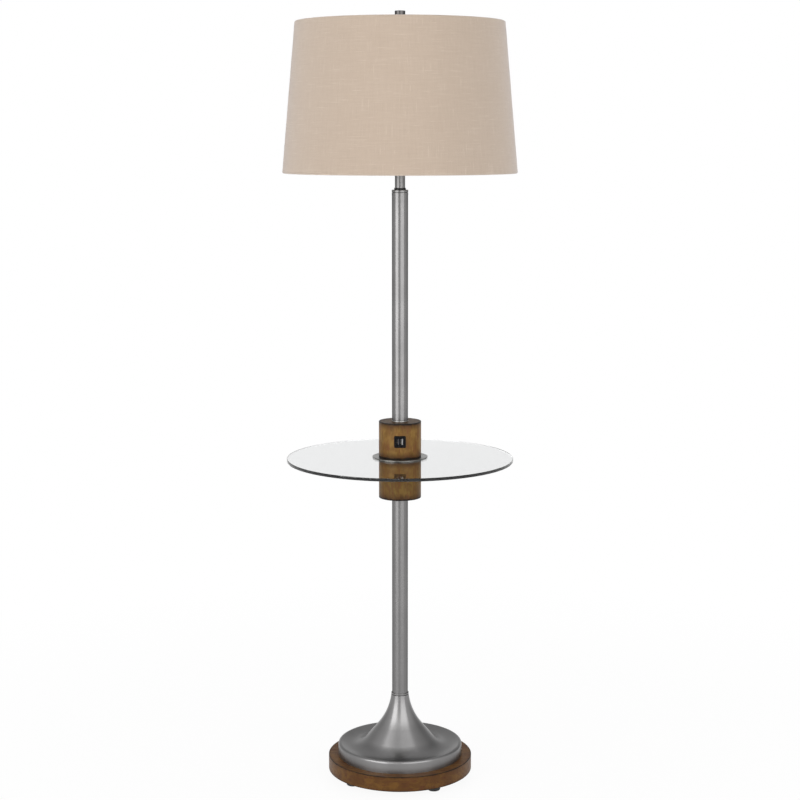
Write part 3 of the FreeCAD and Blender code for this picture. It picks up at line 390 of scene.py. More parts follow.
@dataclass(frozen=True)
class AntiquedWood(Finish):
    """Turned hardwood, stained, rubbed back and sealed with satin lacquer.

    The eye sees golden patches where the stain was rubbed thin, reddish blots, fine dark pores
    along the grain, a nearly black line where stain gathered on each rim, and painted shade in from it.
    """

    name: str
    radius: float  # of the turned piece, in metres
    bottom: float
    top: float
    grain_axis: int = 2
    stain: str = "#765529"
    golden: str = "#886834"
    reddish: str = "#72482B"
    rim: str = "#0E0805"
    # Colour of the painted shade in from each rim.
    burn: str = "#3A2110"
    face: str = "#3A2818"
    face_share: float = 0.0  # how much of the dull face colour lies on the two flat faces
    rim_mm: float = 2.8
    rim_share: float = 0.97
    burn_mm: float = 9.0  # how far in from a rim the painted shade reaches
    burn_share: float = 0.75
    waver: float = 0.5  # how far noise shifts a dark band's edge, as a share of its reach
    fade: tuple[float, float] = (0.4, 1.6)  # where it starts to fade and is gone, as shares of its reach
    face_fade: tuple[float, float] = (0.1 * MM, 0.6 * MM)  # how deep below a face its colour goes
    pore_mm: float = 0.9  # real pores are 0.1 to 0.2 mm wide; drawn coarser, or they would not show
    pore_run_mm: float = 16.0
    pore_depth_mm: float = 0.08
    blot_mm: float = 15.0
    blot_stretch: float = 1.4  # how much longer along the grain than across it a blot is
    figure_mm: float = 4.5
    figure_stretch: float = 7.0
    roughness: float = 0.42

    def wire(self, tree: Tree, output: Node) -> Node:
        """Blots and figure mix the stains, pores darken and dent, rims and faces go dark, painted shade lies
        in from the rims.
        """
        blots = grain(tree, self._stretched(self.blot_mm, self.blot_stretch), detail=4.0, distortion=0.6)
        figures = self._stretched(self.figure_mm, self.figure_stretch)
        figure = grain(tree, figures, detail=5.0, distortion=0.3)
        pores = grain(tree, self._stretched(self.pore_mm, self.pore_run_mm / self.pore_mm), detail=2.0)
        tone: Socket | str = self.stain
        for share, colour in (
            (spread(tree, blots, 0.0, 1.0, 0.44, 0.58), self.golden),
            (spread(tree, figure, 0.0, 0.9, 0.5, 0.66), self.reddish),
            (spread(tree, pores, 0.0, 0.4, 0.56, 0.74), self.rim),
            # Painted shade: a soft dark band in from each rim.
            (self._near_rim(tree, figure, self.burn_mm, self.burn_share), self.burn),
            (self._on_face(tree), self.face),
            (self._near_rim(tree, blots, self.rim_mm, self.rim_share), self.rim),
        ):
            tone = mix_colours(tree, share, tone, colour)
        rough = spread(tree, figure, self.roughness - 0.06, self.roughness + 0.1)
        dents = bump(tree, pores, -self.pore_depth_mm, 0.6)
        return surface(tree, {"Specular IOR Level": 0.16}, tone, rough, dents)

    @classmethod
    def turned(cls, node: str, **looks: float | str) -> "AntiquedWood":
        """Finish for one turned node, whose rims lie where its box ends."""
        low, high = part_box(node)
        return cls(f"hardwood_antiqued_{node}", radius=high.x, bottom=low.z, top=high.z, **looks)

    def _stretched(self, cell_mm: float, times: float) -> list[float]:
        """Cells that are longer along the grain, as their size on each axis."""
        return [cell_mm * times if axis == self.grain_axis else cell_mm for axis in range(3)]

    def _off_rim(self, tree: Tree) -> tuple[Socket, Socket]:
        """Distances in from the round side and in from the nearer flat face."""
        radius, height = off_axis(tree)
        middle, half = (self.top + self.bottom) / 2, (self.top - self.bottom) / 2
        away = reckon(tree, "ABSOLUTE", reckon(tree, "SUBTRACT", height, middle))
        return reckon(tree, "SUBTRACT", self.radius, radius), reckon(tree, "SUBTRACT", half, away)

    def _near_rim(self, tree: Tree, blots: Socket, reach_mm: float, most: float) -> Socket:
        """Find how much of a dark band lies near the rims; it draws both the stain line and the painted
        shade.

        Args:
            tree: The material's node tree.
            blots: Noise that widens and narrows the dark band.
            reach_mm: How far in from a rim the band goes.
            most: The band's share at the rim itself.

        Returns:
            The stain's share.
        """
        away = diagonal(tree, *self._off_rim(tree))
        reach = reach_mm * MM
        shift = spread(tree, blots, -self.waver * reach, self.waver * reach)
        held, gone = (share * reach for share in self.fade)
        return spread(tree, reckon(tree, "ADD", away, shift), most, 0.0, held, gone)

    def _on_face(self, tree: Tree) -> Socket:
        """Share of the dull colour on the flat faces."""
        return spread(tree, self._off_rim(tree)[1], self.face_share, 0.0, *self.face_fade)


# ---- Cloth


@dataclass(frozen=True)
class WovenLinen(Finish):
    """Plain-woven beige linen, laminated to the shade's liner.

    The eye sees a matt, even beige with a fine crossed grain, threads that differ a little in
    tone and bunch up here and there, a few slubs both ways, and edges that turn a little greyer
    where the fibres catch the light.
    """

    name: str = "linen_plain_woven"
    warp: str = "#CBBBAB"
    weft: str = "#C4B4A4"
    pale: str = "#D4C8BA"
    # Darker thread tone, and also painted shade in the gaps between threads.
    shadow: str = "#A69482"
    thread_mm: float = 1.0  # real threads lie about 0.6 mm apart; drawn coarser, or they would not show
    uneven_mm: float = 38.0  # how far one tone of a thread runs
    bunch_mm: float = 9.0
    bunch_threads: float = 0.9
    bunch_stretch: float = 6.0  # how much longer than wide a bunch is
    thread_step: float = 5.37  # cells of noise from one thread to the next, so that each has its own
    apart: tuple[float, float] = (3.7, 11.3)  # how far into the noise the weft lies from the warp
    relief_mm: float = 0.12
    sway: float = 0.45  # share of the relief by which a thread rises and dips at the crossings
    fibre_sheen: str = "#C3CAD8"

    def wire(self, tree: Tree, output: Node) -> Node:
        """Warp and weft pass over and under each other; tone, slubs and spacing differ by thread; painted
        shade lies in the gaps.
        """
        places = [self._thread_place(tree, axis) for axis in (0, 1)]
        waves = [reckon(tree, "COSINE", reckon(tree, "MULTIPLY", place, math.pi)) for place in places]
        over = reckon(tree, "MULTIPLY", waves[0], waves[1])
        heights, tones = [], []
        for axis, colour in ((0, self.warp), (1, self.weft)):
            uneven = self._along_thread(tree, places, axis)
            ridge = reckon(tree, "MULTIPLY", waves[axis], waves[axis])
            sway = self.sway if axis == 0 else -self.sway
            lift = reckon(tree, "MULTIPLY_ADD", over, sway, 1 - self.sway)
            slub = spread(tree, uneven, 0.0, 0.5, 0.66, 0.74)
            heights.append(reckon(tree, "ADD", reckon(tree, "MULTIPLY", ridge, lift), slub))
            tone = mix_colours(tree, spread(tree, uneven, 0.2, 0.0, 0.3, 0.5), colour, self.shadow)
            tones.append(mix_colours(tree, spread(tree, uneven, 0.0, 0.7, 0.52, 0.84), tone, self.pale))
        top = reckon(tree, "MAXIMUM", heights[0], heights[1])
        warp_above = spread(tree, reckon(tree, "SUBTRACT", heights[0], heights[1]), 0.0, 1.0, -0.08, 0.08)
        tone = mix_colours(tree, warp_above, tones[1], tones[0])
        # Painted shade in the gaps between threads, where the weave lies low.
        tone = mix_colours(tree, spread(tree, top, 0.55, 0.0, 0.02, 0.42), tone, self.shadow)
        settings = {"Diffuse Roughness": 1.0, "Specular IOR Level": 0.25, "Sheen Weight": 0.6,
                    "Sheen Roughness": 0.45, "Sheen Tint": linear(self.fibre_sheen)}
        return surface(tree, settings, tone, 0.9, bump(tree, top, self.relief_mm, 0.7))

    def _thread_place(self, tree: Tree, axis: int) -> Socket:
        """Measure the place across the threads that run one way, drawn together here and there.

        Args:
            tree: The material's node tree.
            axis: 0 for the warp and 1 for the weft, which is also the flat cut's axis across them.

        Returns:
            The place, in threads.
        """
        flat = add_node(tree, "ShaderNodeUVMap", {"uv_map": CLOTH_UV})
        cells = [per_mm(self.bunch_mm)] * 2
        cells[1 - axis] /= self.bunch_stretch
        parts = add_node(tree, "ShaderNodeSeparateXYZ", links={0: flat.outputs[0]})
        settings = {"Scale": (*cells, 1.0), "Location": (0.0, 0.0, self.apart[0] * axis)}
        at = add_node(tree, "ShaderNodeMapping", settings, {0: flat.outputs[0]})
        straight = reckon(tree, "MULTIPLY", parts.outputs[axis], per_mm(self.thread_mm))
        return reckon(tree, "MULTIPLY_ADD", noise_at(tree, at.outputs[0]), self.bunch_threads, straight)

    def _along_thread(self, tree: Tree, places: Sequence[Socket], axis: int) -> Socket:
        """Add slow noise of each thread's own, for its tone and thickness.

        Args:
            tree: The material's node tree.
            places: The places across warp and weft, in threads.
            axis: 0 for the warp and 1 for the weft.

        Returns:
            The noise, about 0.25 to 0.75.
        """
        number = reckon(tree, "MULTIPLY", reckon(tree, "ROUND", places[axis]), self.thread_step)
        along = reckon(tree, "MULTIPLY", places[1 - axis], self.thread_mm / self.uneven_mm)
        at = add_node(tree, "ShaderNodeCombineXYZ", {2: self.apart[1] * axis}, {0: number, 1: along})
        return noise_at(tree, at.outputs[0], detail=2.0)


CLOTH_UV = "cut_in_metres"

TUBE_EDGE = "#A4A4A4"
POLE_NICKEL = SatinNickel("nickel_satin_brushed_tube", edge=TUBE_EDGE)
RING_NICKEL = SatinNickel("nickel_satin_turned_rings", colour="#8C8B8B", cloud="#828181", roughness=0.24)
BLOCK_RING_NICKEL = SatinNickel(
    "nickel_bright_block_ring", colour="#A5A4A3", cloud="#9B9A99", roughness=0.22)
COVER_NICKEL = SatinNickel(
    "nickel_satin_spun_cover", colour="#8B8A8A", cloud="#807F7F", roughness=0.3, anisotropy=0.7,
    lines=BrushLines.SPUN, line_mm=1.8, cloud_mm=80.0, edge="#EFEFEF")
FLANGE_NICKEL = SatinNickel(
    "nickel_satin_flange", colour="#777672", cloud="#706F6B", roughness=0.27, lines=BrushLines.SPUN)
# Painted shade: the finial's nickel is darker than the rest, for the dim room that it mirrors up there.
FINIAL_NICKEL = SatinNickel(
    "nickel_finial_painted_dark", colour="#5C5A5A", cloud="#4E4C4C", roughness=0.17, anisotropy=0.4, edge="#959595")
WIRE_NICKEL = SatinNickel(
    "nickel_plated_wire", colour="#B9B5AE", cloud="#A8A49D", roughness=0.2, lines=BrushLines.DRAWN)
BLACKENED = PlainMetal("steel_blackened_ring", "#1B1A1A", "#242222", roughness=0.35, metallic=0.6)
ZINC = PlainMetal("steel_zinc_plated", "#B7B8B4", "#A9A58E", roughness=0.32, mottle_mm=6.0)
CAST_IRON = PlainMetal(
    "iron_sand_cast", "#3A3836", "#2E2C2B", roughness=0.62, grit_mm=1.8, grit_depth_mm=0.25, metallic=0.8)
BRASS = PlainMetal("brass_bright_dipped", "#C9A25B", "#B88E48", roughness=0.24, mottle_mm=12.0)
TIN_PLATE = PlainMetal("tin_plate_darkened", "#1C1C20", "#161619", roughness=0.5, mottle_mm=4.0)
ALUMINIUM = PlainMetal("aluminium_rolled_thread", "#C9C9C8", "#BDBCBA", roughness=0.22, mottle_mm=5.0)
GOLD_FLASH = PlainMetal("gold_flash_contacts", "#D8AE5A", "#C79C49", roughness=0.2, mottle_mm=2.0)
POWDER_COAT = Moulded(
    "powder_coat_white_wire", "#DCDAD4", "#D3D0C8", roughness=0.42, texture_mm=0.9, texture_depth_mm=0.02)
RUBBER = Moulded(
    "rubber_moulded_matt", "#2B2A2A", "#232222", roughness=0.68, texture_mm=0.8, texture_depth_mm=0.03)
GASKET = Moulded("rubber_clear_gasket", "#6E6C68", "#636160", roughness=0.5)
ABS_BLACK = Moulded(
    "abs_black_moulded", "#08080B", "#0D0D10", roughness=0.22, specular=0.12, texture_depth_mm=0.004)
TONGUE_WHITE = Moulded("nylon_white_tongue", "#B4B4B4", "#A9A9A8", roughness=0.5, specular=0.2)
TONGUE_DARK = Moulded("nylon_dark_tongue", "#3B3C44", "#34353C")
SOLDER_MASK = Moulded("board_solder_mask", "#1F5A33", "#1A4C2B", roughness=0.3, texture_mm=2.0)
LEAD_SLEEVE = Moulded("pvc_lead_sleeve", "#8B8B8A", "#7F7F7E", roughness=0.5)
FIBRE_CARD = Moulded("fibre_card_liner", "#8E7350", "#7F6545", roughness=0.8, texture_depth_mm=0.05)
PHENOLIC = Moulded("phenolic_moulded_switch", "#231C17", "#1B1613", roughness=0.28, coat=0.2)
STYRENE = Moulded("styrene_sheet_liner", "#EFEDE4", "#E9E6DB", roughness=0.55, texture_depth_mm=0.02)
FROSTED = Moulded(
    "glass_frosted_bulb", "#F2F1EC", "#ECEBE5", roughness=0.3, drift_mm=30.0, coat=0.15, glow_through=0.35)
GLASS = FloatGlass()
LINEN = WovenLinen()


# ---- Meshes and pieces


def put(name: str, data: bpy.types.ID) -> Piece:
    """Put a new object with this mesh, lamp or lens into the scene."""
    thing = bpy.data.objects.new(name, data)
    bpy.context.scene.collection.objects.link(thing)
    return thing


def make_piece(name: str, points: Sequence[Point], faces: Sequence[Sequence[int]], body: str,
               finish: Finish, slot: str, sharp_degrees: float = 35.0) -> Piece:
    """Make a smooth-shaded mesh that rides on a body of the frame.

    Args:
        name: The piece's name.
        points: Its vertices in the frame, in metres.
        faces: Its faces as vertex numbers.
        body: The body that it moves with.
        finish: Its finish.
        slot: The record's material slot; not used.
        sharp_degrees: Edges that turn more than this stay sharp.

    Returns:
        The new object.
    """
    mesh = bpy.data.meshes.new(name)
    mesh.from_pydata(points, [], faces)
    mesh.validate()
    mesh.shade_smooth()
    mesh.set_sharp_from_angle(angle=math.radians(sharp_degrees))
    mesh.materials.append(finish.material())
    piece = put(name, mesh)
    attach(piece, body)
    LOG.info("made %s: %d faces, rides on %s", name, len(mesh.polygons), body)
    return piece


def dress(nodes: Sequence[str], finish: Finish) -> None:
    """Give nodes of the frame a finish.

    Args:
        nodes: Their names.
        finish: The finish that they get.
    """
    for name in nodes:
        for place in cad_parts[name].material_slots:
            place.material = finish.material()
        LOG.info("dressed %s in %s", name, finish.name)


def grid_faces(rings: int, around: int, wrap: bool = True) -> list[tuple[int, ...]]:
    """Make the faces between rings of points that were listed ring after ring.

    Args:
        rings: How many rings there are.
        around: How many points each has.
        wrap: Whether the last point of a ring joins its first.

    Returns:
        Four-sided faces as point numbers.
    """
    columns = around if wrap else around - 1
    faces = []
    for ring in range(rings - 1):
        for column in range(columns):
            following = (column + 1) % around
            faces.append((
                ring * around + column, ring * around + following,
                (ring + 1) * around + following, (ring + 1) * around + column,
            ))
    return faces


def closed_faces(count: int, around: int) -> list[tuple[int, ...]]:
    """Faces over rings with this count of points, whose last ring joins the first."""
    return [tuple(n % count for n in face) for face in grid_faces(count // around + 1, around)]


@dataclass
class ThreadedSleeve:
    """Turned sleeve with a rounded screw thread, closed at both ends onto its bore or its axis."""

    root_r: float
    crest_r: float
    pitch: float
    bottom: float
    top: float
    bore_r: float = 0.0
    around: int = 72
    steps_per_pitch: int = 10

    def shape(self) -> Shape:
        """Return the sleeve's points and faces, with the thread fading out at both ends."""
        rings = max(3, round((self.top - self.bottom) / self.pitch * self.steps_per_pitch))
        points: list[Point] = []
        for ring in range(rings + 1):
            height = self.bottom + (self.top - self.bottom) * ring / rings
            fade = min(1.0, (height - self.bottom) / self.pitch, (self.top - height) / self.pitch)
            for column in range(self.around):
                turn = column / self.around
                ridge = 0.5 - 0.5 * math.cos(2 * math.pi * (height / self.pitch - turn))
                radius = self.root_r + (self.crest_r - self.root_r) * ridge * max(0.0, fade)
                points.append(around_axis(radius, 360 * turn, height))
        if self.bore_r:
            points.extend(lathe([(self.bore_r, self.top), (self.bore_r, self.bottom)], self.around)[0])
            return points, closed_faces(len(points), self.around)
        ends = [tuple(reversed(range(self.around))), tuple(range(rings * self.around, len(points)))]
        return points, grid_faces(rings + 1, self.around) + ends


def around_axis(radius: float, degrees: float, height: float) -> Point:
    """Point at a radius and height, turned from +X towards +Y."""
    angle = math.radians(degrees)
    return (radius * math.cos(angle), radius * math.sin(angle), height)


def lathe(outline: Sequence[tuple[float, float]], around: int) -> Shape:
    """Turn a closed outline about the lamp's axis.

    Args:
        outline: Radius and height pairs.
        around: How many steps a full turn has.

    Returns:
        Points and faces.
    """
    points = [around_axis(r, 360 * c / around, z) for r, z in outline for c in range(around)]
    return points, closed_faces(len(points), around)


@dataclass
class RoundBox:
    """Small box with its edges taken off, used for contacts."""

    centre: Point
    size: Point
    edge: float

    def shape(self) -> Shape:
        """Return the box's points and faces: each face drawn in, with strips and corners between."""
        box = bmesh.new()
        bmesh.ops.create_cube(box, size=1.0)
        for vertex in box.verts:
            vertex.co = Vector(c + s * v for c, s, v in zip(self.centre, self.size, vertex.co))
        bmesh.ops.bevel(box, geom=box.edges[:], offset=self.edge, segments=2, affect="EDGES", profile=0.5)
        box.verts.index_update()
        points = [tuple(vertex.co) for vertex in box.verts]
        faces = [tuple(vertex.index for vertex in face.verts) for face in box.faces]
        box.free()
        return points, faces


def joined(shapes: Sequence[Shape]) -> Shape:
    """Put several shapes into one.

    Args:
        shapes: Their points and faces.

    Returns:
        One list of points and one of faces.
    """
    points: list[Point] = []
    faces: list[tuple[int, ...]] = []
    for more_points, more_faces in shapes:
        faces.extend(tuple(n + len(points) for n in face) for face in more_faces)
        points.extend(more_points)
    return points, faces


# ---- Sub-assemblies

SIDES = ("left", "right")


class SubAssembly:
    """A group of pieces that belong together: it builds its own meshes, then dresses all of them."""

    finishes: ClassVar[dict[Finish, list[str]]] = {}

    def build(self) -> None:
        """Make the pieces that stand for or add to the frame's nodes."""

    def dress(self) -> None:
        """Give every node of the group its finish."""
        for finish, nodes in self.finishes.items():
            dress(nodes, finish)

    def make(self) -> None:
        """Build and dress the group."""
        LOG.info("%s", type(self).__name__)
        self.build()
        self.dress()


@dataclass
class Base(SubAssembly):
    """Feet, plinth, weight, spun cover and the threaded tube that pulls them together."""

    finishes = {
        RUBBER: [*(f"foot_{end}_{side}" for end in ("front", "back") for side in SIDES), "cord_bushing"],
        ZINC: ["foot_screws", "base_washer", "base_nut"],
        CAST_IRON: ["base_weight"],
        COVER_NICKEL: ["base_cover"],
        RING_NICKEL: ["base_ring"],
    }
    thread_pitch: float = 1.4 * MM
    thread_depth: float = 0.45 * MM
    rod_bore_r: float = 3.5 * MM

    def build(self) -> None:
        """Cut a real thread on the base's tube, which shows below its nut."""
        low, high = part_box("base_rod")
        sleeve = ThreadedSleeve(
            root_r=high.x - self.thread_depth, crest_r=high.x, pitch=self.thread_pitch,
            bottom=low.z, top=high.z, bore_r=self.rod_bore_r, around=40, steps_per_pitch=6)
        rod = make_piece("base_rod_threaded", *sleeve.shape(), "stand", ZINC, "zinc_steel", sharp_degrees=50)
        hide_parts("base_rod")

    def dress(self) -> None:
        """Dress the group, with a darker stain and thinner rims on the plinth."""
        super().dress()
        # The plinth's painted shade in from its rims is narrower and fainter.
        dress(["plinth"], AntiquedWood.turned(
            "plinth", grain_axis=0, stain="#593A1A", golden="#69481F", reddish="#54321C", rim="#140B04",
            rim_mm=1.3, burn_mm=4.0, burn_share=0.35, blot_mm=20.0))


@dataclass
class Stem(SubAssembly):
    """Both poles with their plugs, the ring on the block and the pole's cap."""

    finishes = {
        POLE_NICKEL: ["lower_pole", "upper_pole"],
        BLOCK_RING_NICKEL: ["block_ring"],
        ZINC: ["lower_pole_bottom_plug", "lower_pole_top_plug", "upper_pole_plug"],
    }
    groove_below: float = 2.5 * MM  # the cap's rounded rim ends above this, the groove lies below it

    def dress(self) -> None:
        """Dress the group, with painted shade in the cap's turned groove."""
        super().dress()
        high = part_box("pole_cap")[1]
        dress(["pole_cap"], SatinNickel(
            "nickel_satin_turned_cap", edge=TUBE_EDGE, groove_r=high.x,
            groove_top=high.z - self.groove_below))


@dataclass
class TrayTable(SubAssembly):
    """The glass tray between its two wooden blocks, with gaskets, flange and threaded tube."""

    finishes = {
        GLASS: ["glass_tray"],
        FLANGE_NICKEL: ["tray_flange"],
        GASKET: ["tray_gasket_below", "tray_gasket_above"],
        ZINC: ["table_rod"],
    }
    face_share: float = 0.85

    def dress(self) -> None:
        """Dress the group, with painted shade on the lower block: a darker stain for the tray's shadow."""
        super().dress()
        # Painted shade: the lower block's stain is darker for the tray's shadow over it.
        darker = {"stain": "#664B22", "golden": "#735829", "reddish": "#623F23"}
        for node, tones in (("lower_block", darker), ("upper_block", {})):
            dress([node], AntiquedWood.turned(node, face_share=self.face_share, **tones))


@dataclass
class ChargingModule(SubAssembly):
    """Black module in the upper block: housing, two ports, their contacts, the board and the lead."""

    finishes = {
        ABS_BLACK: ["module_housing"],
        TIN_PLATE: ["port_shell_left", "port_shell_right"],
        TONGUE_DARK: ["port_tongue_left"],
        TONGUE_WHITE: ["port_tongue_right"],
        SOLDER_MASK: ["circuit_board"],
        LEAD_SLEEVE: ["holder_lead"],
    }
    contacts: int = 4
    contact_height: float = 1.0 * MM
    contact_pitch: float = 2.5 * MM
    contact_length: float = 8.0 * MM
    contact_thickness: float = 0.16 * MM
    contact_inset: float = 0.7 * MM
    contact_edge: float = 0.05 * MM
    tongue_off_middle: float = 0.1 * MM

    def build(self) -> None:
        """Lay the flat contacts on the inner side of each tongue."""
        for side in SIDES:
            low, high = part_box(f"port_tongue_{side}")
            shell_low, shell_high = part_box(f"port_shell_{side}")
            tongue_x = (shell_low.x + shell_high.x) / 2 - self.tongue_off_middle
            middle = (low.z + high.z) / 2
            strips = []
            for index in range(self.contacts):
                height = middle + (index - (self.contacts - 1) / 2) * self.contact_pitch
                start = low.y + self.contact_inset
                strip = RoundBox(
                    (tongue_x - self.contact_thickness / 2, start + self.contact_length / 2, height),
                    (self.contact_thickness, self.contact_length, self.contact_height), self.contact_edge)
                strips.append(strip.shape())
            make_piece(f"port_contacts_{side}", *joined(strips), "stand", GOLD_FLASH, "brass")


@dataclass
class Neck(SubAssembly):
    """The narrow tube between the pole's cap and the lamp holder."""

    finishes = {
        BLACKENED: ["seat_ring"], POLE_NICKEL: ["neck_tube"], RING_NICKEL: ["neck_ring"], ZINC: ["neck_rod"]}


@dataclass
class Harp(SubAssembly):
    """Saddle, wire loop, sliding sleeves and the stud that carries the shade."""

    finishes = {
        WIRE_NICKEL: ["harp_saddle", "harp", "harp_stud"],
        BRASS: ["harp_sleeve_left", "harp_sleeve_right"],
    }


@dataclass
class LampHolder(SubAssembly):
    """Brass holder with its card liner, switch body, screw shell, stem and knob."""

    finishes = {
        BRASS: ["holder_cap", "holder_shell", "screw_shell", "holder_contact", "switch_stem"],
        FIBRE_CARD: ["holder_liner"],
        PHENOLIC: ["switch_body", "switch_knob"],
    }


@dataclass
class Bulb(SubAssembly):
    """Pear-shaped frosted bulb with a rolled screw cap."""

    finishes = {FROSTED: ["bulb_glass"]}
    pitch: float = 3.63 * MM
    thread_depth: float = 0.8 * MM
    foot_height: float = 3.0 * MM
    contact_r: float = 4.6 * MM
    contact_flat_r: float = 3.22 * MM
    contact_rise: float = 0.6 * MM
    contact_crown: float = 0.1 * MM
    insulator_step: float = 1.2 * MM  # how far the insulator stands out from the contact
    insulator_core_r: float = 0.5 * MM
    contact_core_r: float = 0.3 * MM

    def build(self) -> None:
        """Roll the cap's thread, with the dark insulator and the contact under it."""
        low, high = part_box("bulb_cap")
        cap = ThreadedSleeve(
            root_r=high.x - self.thread_depth, crest_r=high.x, pitch=self.pitch,
            bottom=low.z + self.foot_height, top=high.z)
        piece = make_piece(
            "bulb_cap_threaded", *cap.shape(), "bulb", ALUMINIUM, "bulb_metal", sharp_degrees=60)
        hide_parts("bulb_cap")
        foot_top, rise = low.z + self.foot_height, low.z + self.contact_rise
        insulator = [
            (high.x - self.thread_depth, foot_top), (self.contact_r + self.insulator_step, rise),
            (self.contact_r, rise), (self.insulator_core_r, rise), (self.insulator_core_r, foot_top),
        ]
        make_piece("bulb_insulator", *lathe(insulator, around=64), "bulb", PHENOLIC, "switch_bakelite")
        contact = [
            (self.contact_core_r, low.z), (self.contact_flat_r, low.z + self.contact_crown),
            (self.contact_r, rise), (self.contact_core_r, rise),
        ]
        make_piece("bulb_contact", *lathe(contact, around=48), "bulb", BRASS, "brass")


@dataclass
class Shade(SubAssembly):
    """Linen drum shade: spider, two rings, plastic liner and the cloth rolled over the rings."""

    finishes = {
        POWDER_COAT: ["spider_hub", "spider_arms", "shade_top_ring", "shade_bottom_ring"],
        STYRENE: ["shade_liner"],
    }
    cloth: float = 0.8 * MM
    around: int = 288
    wall_steps: int = 40
    roll_steps: int = 12
    top_roll: float = 150.0
    bottom_roll: float = 225.0
    seam_width: float = 13.0 * MM
    seam_lift: float = 0.45 * MM
    unevenness: float = 0.22 * MM
    waves_per_m: float = 28.0
    seam_steps: int = 8
    flat_size: tuple[float, float] = (1.417, 0.378)  # the box that the flat cut, a ring sector, fits in
    flat_area: float = 0.393

    def build(self) -> None:
        """Lay the cloth over the liner and roll it round both rings, with one glued seam at the back."""
        linen = self._cloth_piece("shade_linen", 0.0, 360.0, 0.0)
        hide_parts("shade_fabric")
        half = math.degrees(self.seam_width / 2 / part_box("shade_fabric")[1].x)
        seam = self._cloth_piece("shade_linen_seam", 90.0 - half, 2 * half, self.seam_lift)

    def _outline(self, lift: float) -> list[tuple[float, float]]:
        """Draw the cloth in section, from the top roll's inner end down.

        Args:
            lift: How far this layer lies outside the first one, in metres.

        Returns:
            Radius and height pairs along the middle of the cloth.
        """
        ends = []
        for ring in ("shade_top_ring", "shade_bottom_ring"):
            low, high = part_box(ring)
            ends.append((high.x - (high.z - low.z) / 2, (high.z + low.z) / 2))
        (top_r, top_z), (bottom_r, bottom_z) = ends
        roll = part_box("shade_fabric")[1].z - top_z - self.cloth / 2 + lift
        slope = math.degrees(math.atan2(top_z - bottom_z, bottom_r - top_r))
        out = 90.0 - slope  # which way the wall faces, up from level
        around = [step / self.roll_steps for step in range(self.roll_steps + 1)]
        down = [step / self.wall_steps for step in range(1, self.wall_steps)]
        path = [(top_r, top_z, out + self.top_roll * (1 - share)) for share in around]
        path += [(top_r + (bottom_r - top_r) * share, top_z + (bottom_z - top_z) * share, out)
                 for share in down]
        path += [(bottom_r, bottom_z, out - self.bottom_roll * share) for share in around]
        return [(r + roll * math.cos(math.radians(way)), z + roll * math.sin(math.radians(way)))
                for r, z, way in path]

    def _cloth_piece(self, name: str, start: float, sweep: float, lift: float) -> Piece:
        """Make cloth over a stretch of the shade.

        Args:
            name: The piece's name.
            start: Where it starts, in degrees from +X towards +Y.
            sweep: How far round it goes, in degrees.
            lift: How far it lies outside the first layer, in metres.

        Returns:
            The cloth, with real thickness and its flat layout in metres.
        """
        outline = self._outline(lift)
        full = sweep >= 360.0
        steps = self.around if full else self.seam_steps
        turns = [start + sweep * step / steps for step in range(steps + 1)]
        columns = steps if full else steps + 1
        points = []
        for radius, height in outline:
            for degrees in turns[:columns]:
                x, y, z = around_axis(radius, degrees, height)
                wave = self.unevenness * noise.noise(Vector((x, y, z)) * self.waves_per_m)
                points.append(around_axis(radius + wave, degrees, height))
        faces = grid_faces(len(outline), columns, wrap=full)
        piece = make_piece(name, points, faces, "shade", LINEN, "linen", sharp_degrees=80)
        self._lay_flat(piece, outline, turns, columns)
        solid = piece.modifiers.new("cloth_thickness", "SOLIDIFY")
        solid.thickness = self.cloth if full else self.seam_lift
        solid.offset = 0.0
        return piece

    @staticmethod
    def _lay_flat(piece: Piece, outline: Sequence[tuple[float, float]], turns: Sequence[float],
                  columns: int) -> None:
        """Write where each point lies in the flat cut, in metres, as the cloth's UV map.

        Args:
            piece: The cloth.
            outline: Its section, as radius and height pairs.
            turns: Degrees round the axis of each step, with one more than columns where it closes.
            columns: How many points each ring has.
        """
        run = [0.0]
        for (r0, z0), (r1, z1) in zip(outline, outline[1:]):
            run.append(run[-1] + math.hypot(r1 - r0, z1 - z0))
        middle_r = sum(r for r, _ in outline) / len(outline)
        layer = piece.data.uv_layers.new(name=CLOTH_UV)
        for polygon in piece.data.polygons:
            numbers = [piece.data.loops[n].vertex_index for n in polygon.loop_indices]
            closing = len(turns) > columns and {n % columns for n in numbers} == {0, columns - 1}
            for loop, number in zip(polygon.loop_indices, numbers):
                ring, column = divmod(number, columns)
                if closing and column == 0:
                    column = columns
                layer.data[loop].uv = (math.radians(turns[column]) * middle_r, run[ring])


@dataclass
class Finial(SubAssembly):
    """Turned knob that screws the shade down."""

    finishes = {FINIAL_NICKEL: ["finial"]}


# ---- Studio and camera


@dataclass(frozen=True)
class Softbox:
    """One lamp: a soft rectangle on a stand, facing the object."""

    name: str
    degrees: float  # round the object from the camera's side, towards +X
    distance: float
    height: float
    width: float
    tall: float
    radiance: float
    tilt: float = 0.0  # degrees down from level
    mirrored: bool = True  # whether metal and glass show the lamp itself

    def place(self) -> None:
        """Hang the lamp so that it faces the object's axis."""
        light = bpy.data.lights.new(self.name, "AREA")
        light.shape = "RECTANGLE"
        light.size, light.size_y = self.width, self.tall
        light.energy = self.radiance * math.pi * self.width * self.tall
        lamp = put(self.name, light)
        angle = math.radians(self.degrees)
        lamp.location = (self.distance * math.sin(angle), -self.distance * math.cos(angle), self.height)
        lamp.rotation_euler = (math.radians(90 - self.tilt), 0, angle)
        lamp.visible_glossy = self.mirrored


